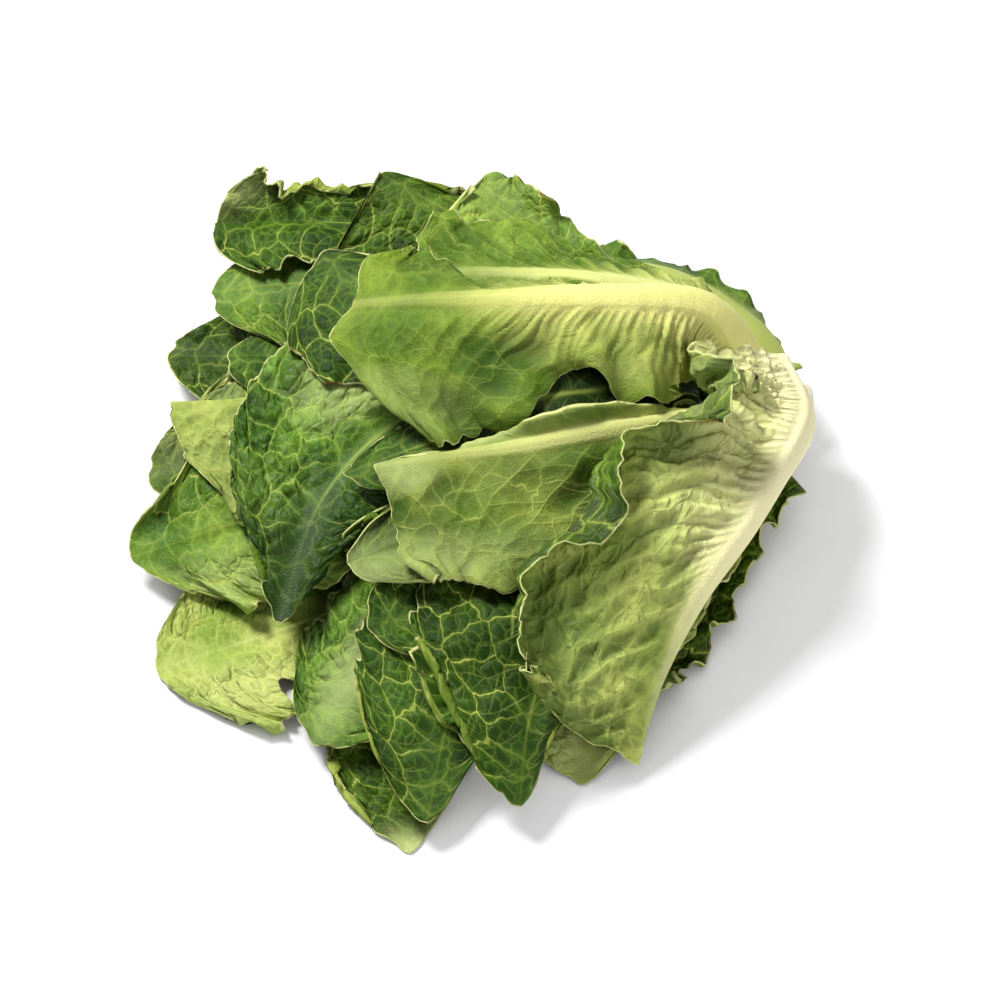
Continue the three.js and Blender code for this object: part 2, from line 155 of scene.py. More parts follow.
@dataclass(frozen=True)
class Tissue:
    """One face of a leaf: living tissue with a waxy skin and a net of pale veins.

    dark, green and light are the tissue's darkest green, its plain green and its blotches; dark is
    also mixed in as painted shade in the folds of the relief, between the fan's fine ribs and over
    stretches of painted shade. vein, rib and sap are the fine veins, the midrib and the watery fan
    beside it. net, halo, hollow and bones are how strongly the veins, their glow, the dark between
    them and the side ribs show. rib_share and rib_length say how wide and how far along the midrib
    shows, and pale_reach and pale_length how far the pale base runs out and along. fan is how strongly
    the fan of fine ribs shows, and stays 0 on an inner face. gloss is the roughness of the wax and
    shine its reflection. puff is the relief between the veins. Shares run from 0 to 1 and reaches are
    in millimetres.
    """

    name: str
    dark: str
    green: str
    light: str
    vein: str
    rib: str
    net: float = 0.8
    halo: float = 0.35
    hollow: float = 0.5
    rib_share: float = 0.9
    rib_length: float = 0.9
    pale_reach: float = 6.0
    pale_length: float = 0.3
    fan: float = 0.0
    gloss: float = 0.34
    shine: float = 0.2
    puff: float = 0.8
    bones: float = 1.0
    sap: str = "#bcc468"

    @property
    def outer(self) -> bool:
        """Whether this is the ribbed outer face, on which veins stand proud."""
        return self.fan > 0

    def material(self) -> bpy.types.Material:
        """Makes the face's material, whose patterns follow the leaf's own map and veins.

        Returns:
            The material.
        """
        material = bpy.data.materials.new(f"leaf_tissue_{self.name}")
        TissuePainter(self, Nodes(material)).paint()
        return material


class TissuePainter:
    """Builds the nodes of one face of a leaf, whose patterns are sized in millimetres."""

    BLOTCH = 0.03  # broad blotches to a millimetre: one in about 33 mm
    WEAR = 0.06  # worn stretches of the veins: one in about 17 mm
    BROWNING = 0.1  # browned stretches of the margin: one in 10 mm
    BUCKLE = 0.12  # bends of the net's veins: one in about 8 mm
    MOTTLE = 0.3  # one fleck in about 3 mm
    GRAIN = 1.3  # skin cells are drawn ten times too coarse, about 0.8 mm, so that they show
    WIDE_MESH = 0.07  # one mesh of the net in about 14 mm
    TIGHT_MESH = 0.2  # one mesh of the fainter net in 5 mm
    BUCKLE_REACH = 7.0  # how far the net's veins bend off a straight line, in millimetres
    FINE_RIBS = 3.0  # ribs of the fan to one side rib
    VEIN_HEIGHT = 0.6  # millimetres by which a vein stands out or in
    GRAIN_HEIGHT = 0.4  # millimetres, drawn as coarse as the grain

    # Pale colour of positive tints: partly real bleaching and partly painted light and highlights.
    BLEACH_AND_LIGHT = "#c6cf86"
    DRIED = "#6f5228"
    RIM = "#d2d48c"

    def __init__(self, tissue: Tissue, nodes: Nodes) -> None:
        """Takes a finish and its empty tree."""
        self.tissue = tissue
        self.nodes = nodes

    def paint(self) -> None:
        """Adds the patterns and wires them to the shader."""
        self.read_leaf()
        self.add_blotches()
        self.add_net()
        self.add_veins()
        self.add_pale_base()
        tissue = self.tissue
        bump = self.nodes.add("Bump", {"Height": self.height(), "Strength": 1.0, "Distance": MM})
        roughness = self.nodes.add("MapRange", {0: self.fine, 3: tissue.gloss, 4: tissue.gloss + 0.12})
        self.nodes.fill(self.nodes.tree.nodes["Principled BSDF"], {
            "Base Color": self.with_rim(self.with_ribs(self.blade_colour())),
            "Roughness": roughness,
            "Normal": bump,
            "Specular IOR Level": tissue.shine,
            "Subsurface Weight": 0.1,
            "Subsurface Radius": (0.6, 1.0, 0.25),
            "Subsurface Scale": 1.2 * MM,
        })

    def read_leaf(self) -> None:
        """Reads the leaf's own map in millimetres, and what was stored with its mesh."""
        add = self.nodes.add
        uv = add("UVMap", {}, uv_map="flat")
        self.place = add("VectorMath", {0: uv, "Scale": PLACE_UNIT}, operation="SCALE")
        veins, reach, state = (add("Attribute", {}, "Vector", attribute_name=name)
                               for name in ("veins", "reach", "state"))
        self.phase, self.cell, self.edge = (add("SeparateXYZ", {0: veins}, axis) for axis in "XYZ")
        self.along, self.beyond, self.in_rib = (add("SeparateXYZ", {0: reach}, axis) for axis in "XYZ")
        self.relief, self.tone = (add("SeparateXYZ", {0: state}, axis) for axis in "XY")

    def add_blotches(self) -> None:
        """Adds irregular blotches, flecks and worn stretches."""
        add, smooth = self.nodes.add, self.nodes.SMOOTH
        broad = add("TexNoise", {"Vector": self.place, "Scale": self.BLOTCH, "Detail": 2.0})
        self.patch = add("MapRange", {0: broad, 1: 0.36, 2: 0.66}, **smooth)
        self.mottle = add("TexNoise", {"Vector": self.place, "Scale": self.MOTTLE, "Detail": 4.0})
        self.fine = add("MapRange", {0: self.mottle, 1: 0.3, 2: 0.75}, **smooth)
        wear = add("TexNoise", {"Vector": self.place, "Scale": self.WEAR, "Detail": 2.0})
        self.worn = add("MapRange", {0: wear, 1: 0.35, 2: 0.65, 3: 0.45, 4: 1.0}, **smooth)

    def add_net(self) -> None:
        """Adds a wide net of meshes with a tight one in it, and the tissue that puffs up in both."""
        add, smooth = self.nodes.add, self.nodes.SMOOTH
        stir = add("TexNoise", {"Vector": self.place, "Scale": self.BUCKLE, "Detail": 2.0}, "Color")
        stir = add("VectorMath", {0: stir, "Scale": self.BUCKLE_REACH}, operation="SCALE")
        stirred = add("VectorMath", {0: self.place, 1: stir}, operation="ADD")
        self.wide, tight = (add("TexVoronoi", {"Vector": stirred, "Scale": scale}, "Distance",
                                voronoi_dimensions="2D", feature="DISTANCE_TO_EDGE")
                            for scale in (self.WIDE_MESH, self.TIGHT_MESH))
        self.out = add("MapRange", {0: self.beyond, 1: 3.0, 2: 14.0}, **smooth)
        wide_net = add("MapRange", {0: self.wide, 1: 0.028, 2: 0.01}, **smooth)
        self.wide_net = add("Math", {0: wide_net, 1: self.out}, operation="MULTIPLY")
        self.tight_net = add("MapRange", {0: tight, 1: 0.05, 2: 0.01, 4: 0.15}, **smooth)
        self.plump = add("MapRange", {0: self.wide, 1: 0.0, 2: 0.26}, **smooth)
        self.plump_small = add("MapRange", {0: tight, 1: 0.0, 2: 0.3}, **smooth)

    def vein_line(self, count: bpy.types.NodeSocket, core: float, soft: float) -> bpy.types.NodeSocket:
        """Draws a vein on each whole number of a count.

        Args:
            count: Count of veins, whose whole numbers lie on one.
            core: Half width of the vein's full strength, as a share of the gap.
            soft: Half width at which it is gone.

        Returns:
            1 on a vein and 0 away from it.
        """
        away = self.nodes.add("Math", {0: count, 1: 0.5}, operation="PINGPONG")
        return self.nodes.add("MapRange", {0: away, 1: soft, 2: core}, **self.nodes.SMOOTH)

    def add_veins(self) -> None:
        """Adds the side ribs, and the cross veins between them, which thin out towards the margin."""
        add, smooth = self.nodes.add, self.nodes.SMOOTH
        tissue = self.tissue
        apart = add("MapRange", {0: self.beyond, 1: 1.0, 2: 12.0}, **smooth)
        far = 80.0 if tissue.outer else 45.0
        bones = add("MapRange", {0: self.beyond, 1: far, 2: 8.0, 3: 0.25, 4: 1.0}, **smooth)
        young = add("MapRange", {0: self.along, 1: 1.0, 2: 0.45, 3: 0.35, 4: 1.0}, **smooth)
        for share in (young, tissue.bones):
            bones = add("Math", {0: bones, 1: share}, operation="MULTIPLY")
        lines = self.vein_line(self.phase, 0.012, 0.045)
        lines = add("Math", {0: lines, 1: bones}, operation="MULTIPLY")
        row = add("Math", {0: self.phase}, operation="FLOOR")
        cell = add("Math", {0: row, 1: Blade.SKIP, 2: self.cell}, operation="MULTIPLY_ADD")
        cross = self.vein_line(cell, 0.01, 0.035)
        for share in (bones, apart):
            cross = add("Math", {0: cross, 1: share}, operation="MULTIPLY")
        off_rib = add("MapRange", {0: self.beyond, 1: 0.5, 2: 4.0, 4: tissue.net}, **smooth)
        for operation, other in (("MAXIMUM", cross), ("MAXIMUM", self.wide_net),
                                 ("MULTIPLY", self.worn), ("MAXIMUM", self.tight_net),
                                 ("MULTIPLY", off_rib)):
            lines = add("Math", {0: lines, 1: other}, operation=operation)
        self.lines = lines

    def add_pale_base(self) -> None:
        """Adds the pale blade beside the midrib, wider near the base, with its fan of fine ribs."""
        add, smooth = self.nodes.add, self.nodes.SMOOTH
        tissue = self.tissue
        wane = add("MapRange", {0: self.along, 1: tissue.pale_length, 2: 0.0, 3: 0.7,
                                4: tissue.pale_reach + 1.0}, **smooth)
        uneven = add("Math", {0: self.patch, 1: 0.6}, operation="ADD")
        wane = add("Math", {0: wane, 1: uneven}, operation="MULTIPLY")
        self.ratio = add("Math", {0: self.beyond, 1: wane}, operation="DIVIDE")
        falling = add("Math", {0: self.ratio, 1: -1.0}, operation="MULTIPLY")
        pale = add("Math", {0: falling}, operation="EXPONENT")
        self.faint = add("MapRange", {0: self.along, 1: tissue.rib_length, 2: tissue.rib_length - 0.45,
                                      3: 0.12, 4: 1.0}, **smooth)
        spread = add("Math", {0: pale, 1: 0.4}, operation="POWER")
        self.spread, self.pale = (add("Math", {0: zone, 1: self.faint}, operation="MULTIPLY")
                                  for zone in (spread, pale))
        fine_ribs = add("Math", {0: self.phase, 1: self.FINE_RIBS}, operation="MULTIPLY")
        self.away = add("MapRange", {0: self.beyond, 1: 0.8, 2: 5.0}, **smooth)
        fanned = self.vein_line(fine_ribs, 0.08, 0.42)
        for share in (self.away, tissue.fan):
            fanned = add("Math", {0: fanned, 1: share}, operation="MULTIPLY")
        self.fanned = fanned

    def blade_colour(self) -> bpy.types.NodeSocket:
        """Colours the blade: darker between the veins, with painted shade in its folds and stretches,
        and paler stretches that are partly bleaching and partly painted light.

        Returns:
            The colour without ribs or veins.
        """
        add, smooth = self.nodes.add, self.nodes.SMOOTH
        tissue = self.tissue
        colour = add("Mix", {0: self.patch, 6: tissue.green, 7: tissue.light}, 2, data_type="RGBA")
        hollow = add("Math", {0: self.plump, 1: self.plump_small}, operation="MULTIPLY")
        for share in (add("MapRange", {0: self.fine, 3: 0.5, 4: 1.2}), tissue.hollow):
            hollow = add("Math", {0: hollow, 1: share}, operation="MULTIPLY")
        pale_fleck = add("MapRange", {0: self.mottle, 1: 0.52, 2: 0.72, 4: 0.4}, **smooth)
        dark_fleck = add("MapRange", {0: self.mottle, 1: 0.48, 2: 0.3, 4: 0.4}, **smooth)
        # dent is painted shade: the deeper a point lies in the relief of the face that shows, the more
        # dark green is mixed in.
        shallow, deep = (0.12, 0.75) if tissue.outer else (0.1, -0.5)
        dent = add("MapRange", {0: self.relief, 1: shallow, 2: deep, 4: 0.75}, **smooth)
        # Positive tone paints the blade paler: real bleaching in some stretches, painted light and
        # painted highlights in others.
        bleach_and_light = add("MapRange", {0: self.tone, 1: 0.0, 2: 1.0})
        patchy = add("MapRange", {0: self.fine, 3: 1.0, 4: 0.7})
        bleach_and_light = add("Math", {0: bleach_and_light, 1: patchy}, operation="MULTIPLY")
        # Negative tone mixes in the dark green as painted shade.
        shaded = add("MapRange", {0: self.tone, 1: 0.0, 2: -1.0})
        halo = add("MapRange", {0: self.wide, 1: 0.08, 2: 0.0, 4: tissue.halo * 0.5}, **smooth)
        for share, over in ((hollow, tissue.dark), (pale_fleck, tissue.light),
                            (dark_fleck, tissue.dark), (dent, tissue.dark),
                            (bleach_and_light, self.BLEACH_AND_LIGHT), (shaded, tissue.dark), (halo, tissue.vein)):
            colour = add("Mix", {0: share, 6: colour, 7: over}, 2, data_type="RGBA")
        return colour

    def with_ribs(self, colour: bpy.types.NodeSocket) -> bpy.types.NodeSocket:
        """Lays the pale base, the fan, the veins and the midrib over a blade.

        Args:
            colour: The blade's colour.

        Returns:
            The colour with them, darkened again by painted shade where the tone is most negative.
        """
        add, smooth = self.nodes.add, self.nodes.SMOOTH
        tissue = self.tissue
        sappy = add("Math", {0: self.spread, 1: tissue.fan}, operation="MULTIPLY")
        kept = add("MapRange", {0: self.ratio, 1: 0.25, 2: 1.6, 3: 1.0, 4: 0.35}, **smooth)
        kept = add("Math", {0: kept, 1: self.fanned}, operation="MAXIMUM")
        mottled = add("Math", {0: self.pale, 1: kept}, operation="MULTIPLY")
        # Painted shade between the raised fine ribs of the fan beside the midrib.
        painted_groove_shade = add("Math", {0: tissue.fan, 1: self.fanned}, operation="SUBTRACT")
        for share in (self.away, self.spread, 0.45):
            painted_groove_shade = add("Math", {0: painted_groove_shade, 1: share}, operation="MULTIPLY")
        line_colour = add("Mix", {0: self.pale, 6: tissue.vein, 7: tissue.rib}, 2, data_type="RGBA")
        slim = add("MapRange", {0: self.along, 1: 0.25, 2: 0.95, 3: 1.0, 4: 3.0})
        in_rib = add("Math", {0: self.in_rib, 1: slim}, operation="MULTIPLY")
        rib = add("MapRange", {0: in_rib, 1: tissue.rib_share * 1.25, 2: tissue.rib_share * 0.8},
                  **smooth)
        rib = add("Math", {0: rib, 1: self.faint}, operation="MULTIPLY")
        rib_tip = add("MapRange", {0: self.along, 1: 0.95, 2: 0.4}, **smooth)
        rib_colour = add("Mix", {0: rib_tip, 6: tissue.vein, 7: tissue.rib}, 2, data_type="RGBA")
        # Painted shade: the most negative tone darkens the veins and the midrib as well.
        deep = add("MapRange", {0: self.tone, 1: -0.55, 2: -1.0, 4: 0.8})
        for share, over in ((sappy, tissue.sap), (mottled, tissue.rib), (painted_groove_shade, tissue.dark),
                            (self.lines, line_colour), (rib, rib_colour), (deep, tissue.dark)):
            colour = add("Mix", {0: share, 6: colour, 7: over}, 2, data_type="RGBA")
        return colour

    def with_rim(self, colour: bpy.types.NodeSocket) -> bpy.types.NodeSocket:
        """Dries the margin: a thin cream line, browned in a few places.

        Args:
            colour: The face's colour.

        Returns:
            The colour with its margin.
        """
        add, smooth = self.nodes.add, self.nodes.SMOOTH
        dry = add("TexNoise", {"Vector": self.place, "Scale": self.BROWNING, "Detail": 3.0})
        brown = add("MapRange", {0: dry, 1: 0.56, 2: 0.68}, **smooth)
        rim_colour = add("Mix", {0: brown, 6: self.RIM, 7: self.DRIED}, 2, data_type="RGBA")
        rim = add("MapRange", {0: self.edge, 1: 0.7, 2: 0.3, 4: 0.8}, **smooth)
        return add("Mix", {0: rim, 6: colour, 7: rim_colour}, 2, data_type="RGBA")

    def height(self) -> bpy.types.NodeSocket:
        """Works out the fine relief, which is puffed up between sunk veins inside.

        Outside it is the reverse: the veins stand proud, and the tissue sinks between them.

        Returns:
            The height in millimetres.
        """
        add = self.nodes.add
        proud = 1.0 if self.tissue.outer else -1.0
        grain = add("TexNoise", {"Vector": self.place, "Scale": self.GRAIN, "Detail": 3.0})
        height = add("Math", {0: grain, 1: self.GRAIN_HEIGHT}, operation="MULTIPLY")
        raised = add("Math", {0: self.fanned, 1: self.spread}, operation="MULTIPLY")
        raised = add("Math", {0: raised, 1: self.lines}, operation="MAXIMUM")
        puffed = add("Math", {0: self.plump_small, 1: 0.4, 2: self.plump}, operation="MULTIPLY_ADD")
        puffed = add("Math", {0: puffed, 1: self.out}, operation="MULTIPLY")
        for part, scale in ((raised, self.VEIN_HEIGHT * proud), (puffed, -proud * self.tissue.puff)):
            height = add("Math", {0: part, 1: scale, 2: height}, operation="MULTIPLY_ADD")
        return height


@dataclass(frozen=True)
class StemFlesh:
    """Cut stem: moist cream flesh with long fibres, browned in a thin ragged ring round the cut."""

    cream: str = "#f6efd2"
    straw: str = "#e6dfae"
    tan: str = "#d2b07a"
    brown: str = "#a87c4a"
    fibres: tuple = (150.0, 600.0, 600.0)  # to a metre: 7 mm long and 1.7 mm thick
    blotches: float = 160.0  # to a metre: one in about 6 mm

    def material(self) -> bpy.types.Material:
        """Makes the material, with fibres that run along the stem.

        Returns:
            The material.
        """
        material = bpy.data.materials.new("cut_stem_flesh")
        nodes = Nodes(material)
        add, smooth = nodes.add, nodes.SMOOTH
        place = add("TexCoord", {}, "Object")
        drawn_out = add("VectorMath", {0: place, 1: self.fibres}, operation="MULTIPLY")
        fibre = add("TexNoise", {"Vector": drawn_out, "Scale": 1.0, "Detail": 3.0})
        fibre = add("MapRange", {0: fibre, 1: 0.35, 2: 0.7}, **smooth)
        blotch = add("TexNoise", {"Vector": place, "Scale": self.blotches, "Detail": 4.0})
        blotch = add("MapRange", {0: blotch, 1: 0.5, 2: 0.7, 4: 0.8}, **smooth)
        cut = add("Attribute", {}, "Fac", attribute_name="cut")
        dried = add("Math", {0: cut, 1: blotch}, operation="MULTIPLY")
        colour = add("Mix", {0: fibre, 6: self.cream, 7: self.straw}, 2, data_type="RGBA")
        scab = add("Mix", {0: fibre, 6: self.tan, 7: self.brown}, 2, data_type="RGBA")
        nodes.fill(nodes.tree.nodes["Principled BSDF"], {
            "Base Color": add("Mix", {0: dried, 6: colour, 7: scab}, 2, data_type="RGBA"),
            "Normal": add("Bump", {"Height": fibre, "Strength": 0.6, "Distance": 0.4 * MM}),
            "Roughness": 0.45,
            "Subsurface Weight": 0.15,
            "Subsurface Scale": 2 * MM,
        })
        return material


# ---------------------------------------------------------------- what a leaf is


@dataclass(frozen=True)
class Half:
    """One half of a blade: width, lean at base and tip, bend, sweep and notch, as in the solids."""

    width: float
    lean_base: float
    lean_tip: float
    bend: float
    sweep: float
    notch: float = 0.0


@dataclass(frozen=True)
class Curl:
    """A stretch of one margin that rolls or folds over.

    It says where, how wide a strip turns, how far it turns, how much wider the leaf is there, and the
    radius of the bend: 0 rolls the whole strip, and a small radius folds it flat.
    """

    side: int
    place: float
    span: float
    strip: float
    angle: float
    wider: float = 0.0
    radius: float = 0.0


@dataclass(frozen=True)
class Bulge:
    """A stretch of one margin that runs out further: where and how much."""

    side: int
    place: float
    span: float
    out: float


@dataclass(frozen=True)
class Flounce:
    """A stretch of one margin that waves up and down: where, how high and how long the waves are."""

    side: int
    place: float
    span: float
    height: float
    wave: float


@dataclass(frozen=True)
class Crinkle:
    """A band of deep pleats along the side ribs: where along the leaf, where across, and how deep."""

    place: float
    span: float
    start: float
    end: float
    depth: float


@dataclass(frozen=True)
class Tint:
    """A stretch painted paler, partly real bleaching and partly painted light and highlight, or a
    stretch of painted shade where its tone is negative.

    Its middle is a share of the way along and some millimetres right of the midrib, left if negative.
    """

    along: float
    across: float
    length: float
    width: float
    tone: float


@dataclass(frozen=True)
class Leaf:
    """A leaf: its place and shape as in the solids, and its relief and finishes.

    spine runs along the midrib from base to tip. outline gives the base's share of the greatest width,
    where along the leaf that width is, and the tip's share. rib is the midrib's half width and depth,
    and frill the height and count of the margin's waves. bite and flare narrow or widen the left and
    the right half: where, over what span, and by what share. pitch and cross are the gaps between side
    ribs and between cross veins. blister, swell and ruffle are how strong each relief is. spacing is
    the gap between points. slant is how far the side ribs lean at the base. tip pairs places across
    the leaf with how far the tip falls back there. Lengths are millimetres.
    """

    name: str
    back: Face
    spine: tuple[tuple[float, float, float], ...]
    left: Half
    right: Half
    outline: tuple[float, float, float]
    rib: tuple[float, float]
    frill: tuple[float, float]
    inner: Tissue
    outer: Tissue
    slot: str
    bite: tuple[float, ...] = ()
    flare: tuple[float, ...] = ()
    pitch: float = 12.0
    cross: float = 13.0
    blister: float = 1.0
    swell: float = 1.6
    ruffle: float = 1.2
    spacing: float = 1.5
    slant: float = 0.25
    tip: tuple[tuple[float, float], ...] = ()
    bulges: tuple[Bulge, ...] = ()
    curls: tuple[Curl, ...] = ()
    flounces: tuple[Flounce, ...] = ()
    crinkles: tuple[Crinkle, ...] = ()
    tints: tuple[Tint, ...] = ()

    def half(self, side: int) -> Half:
        """The right half where side is 1, and the left one where it is -1."""
        return self.right if side > 0 else self.left


# Young inner tissue, deep green and waxy, with small sharp highlights on its blisters.
DEEP = Tissue("deep", dark="#122605", green="#324e0e", light="#5a7a20", vein="#a5b452", rib="#93a548",
              hollow=0.75, pale_reach=1.0, gloss=0.26, shine=0.1, puff=1.0, bones=0.5)
# Crowded heart leaves, dull and coloured dark as painted shade for the hollow they lie in.
HEART = Tissue("heart", dark="#12240a", green="#223c10", light="#35531a", vein="#6c8636",
               rib="#7c9444", pale_reach=1.0, gloss=0.4, shine=0.06)
# Flat dark tissue on which the net of pale veins stands out most.
VEINED = Tissue("veined", dark="#0f2205", green="#2b490d", light="#47691b", vein="#aebc56",
                rib="#97a94a", net=0.9, halo=0.3, hollow=0.75, pale_reach=1.0, gloss=0.34,
                shine=0.08, puff=0.7, bones=0.45)
# Tight glossy blisters, which glint.
BLISTERED = Tissue("blistered", dark="#142e06", green="#3a5f14", light="#6c9230", vein="#a0b450",
                   rib="#8fa544", pale_reach=1.0, gloss=0.22, shine=0.12, puff=1.4, bones=0.4)
# Fresh yellow-green tissue.
BRIGHT = Tissue("bright", dark="#2c4e10", green="#4e721a", light="#7c9a30", vein="#b6c25c",
                rib="#b6c25c", pale_reach=1.5, gloss=0.3, shine=0.14, puff=1.0, bones=0.5)
# Pale tissue of the oldest leaves, almost without contrast.
PALE = Tissue("pale", dark="#5b7820", green="#8ba03c", light="#b6be62", vein="#c6cd74", rib="#c4c978",
              net=0.45, hollow=0.45, pale_reach=2.0, gloss=0.36, puff=1.1, bones=0.6)
# A dark back, dull and ribbed as all backs are.
BACK_DARK = Tissue("back_dark", dark="#22400c", green="#3a5814", light="#557426", vein="#8ba046",
                   rib="#a4b05a", net=0.4, halo=0.3, pale_reach=4.0, pale_length=0.4, fan=0.4,
                   gloss=0.42, shine=0.08)
# A plain back, grey-green like felt.
BACK = Tissue("back", dark="#4a6418", green="#74862c", light="#9ca84c", vein="#aab55c", rib="#d0d27a",
              net=0.45, halo=0.5, pale_reach=9.0, pale_length=0.7, fan=0.7, gloss=0.52, shine=0.1,
              puff=0.6)
# A smooth back whose green warms to yellow beside its broad midrib.
BACK_WARM = Tissue("back_warm", dark="#2c480a", green="#4f6c16", light="#788f2b", vein="#9fae4c",
                   rib="#e0dc88", net=0.25, halo=0.15, hollow=0.3, rib_share=0.42, rib_length=0.8,
                   pale_reach=12.0, pale_length=0.8, fan=0.95, gloss=0.5, shine=0.14, puff=0.2,
                   bones=1.2, sap="#c8cc6c")
# A back with close side ribs, like corduroy.
BACK_CREST = Tissue("back_crest", dark="#35520e", green="#547218", light="#7c9636", vein="#a8b654",
                    rib="#ccd082", net=0.3, halo=0.2, rib_share=0.5, pale_reach=7.0, pale_length=0.7,
                    fan=0.9, gloss=0.5, shine=0.12, puff=0.45, bones=1.2)
# A thin back, dull and a little translucent, with a clear net.
BACK_THIN = Tissue("back_thin", dark="#2f480c", green="#526c1c", light="#82903c", vein="#a8b458",
                   rib="#c8ca7c", net=0.5, halo=0.3, hollow=0.3, rib_share=0.5, pale_reach=3.0,
                   pale_length=0.6, fan=0.4, gloss=0.5, shine=0.12, puff=0.3)
# The outermost back, blanched almost white along its thick midrib and far into its fan of ribs.
BACK_WHITE = Tissue("back_white", dark="#3d5a11", green="#7b9330", light="#b4be5c", vein="#bcc672",
                    rib="#fff6c4", net=0.35, halo=0.15, hollow=0.6, pale_reach=22.0, pale_length=0.85,
                    fan=0.9, gloss=0.48, shine=0.12, puff=1.1, bones=2.0, sap="#e8e898")


def leaf(name: str, back: Face, spine: tuple, left: tuple, right: tuple, outline: tuple, rib: tuple,
         frill: tuple, inner: Tissue = DEEP, outer: Tissue = BACK, slot: str = "",
         **extra: object) -> Leaf:
    """Makes a leaf from plain tuples, with the material slot that the face in view has.

    Args:
        name: Name of its solid.
        back: Which way its ribbed back looks.
        spine: Points along its midrib.
        left: Numbers of its left half.
        right: Numbers of its right half.
        outline: Share of the width at the base, place of the greatest width, and share at the tip.
        rib: Half width and depth of the midrib.
        frill: Height and count of the margin's waves.
        inner: Finish of the face without ribs.
        outer: Finish of the back.
        slot: Name of its material slot, if it isn't the usual one for the face that looks up.
        extra: Other fields of the leaf.

    Returns:
        The leaf.
    """
    slot = slot or ("leaf_outer_face" if back is Face.UP else "leaf_inner_face")
    return Leaf(name, back, spine, Half(*left), Half(*right), outline, rib, frill, inner, outer, slot,
                **extra)
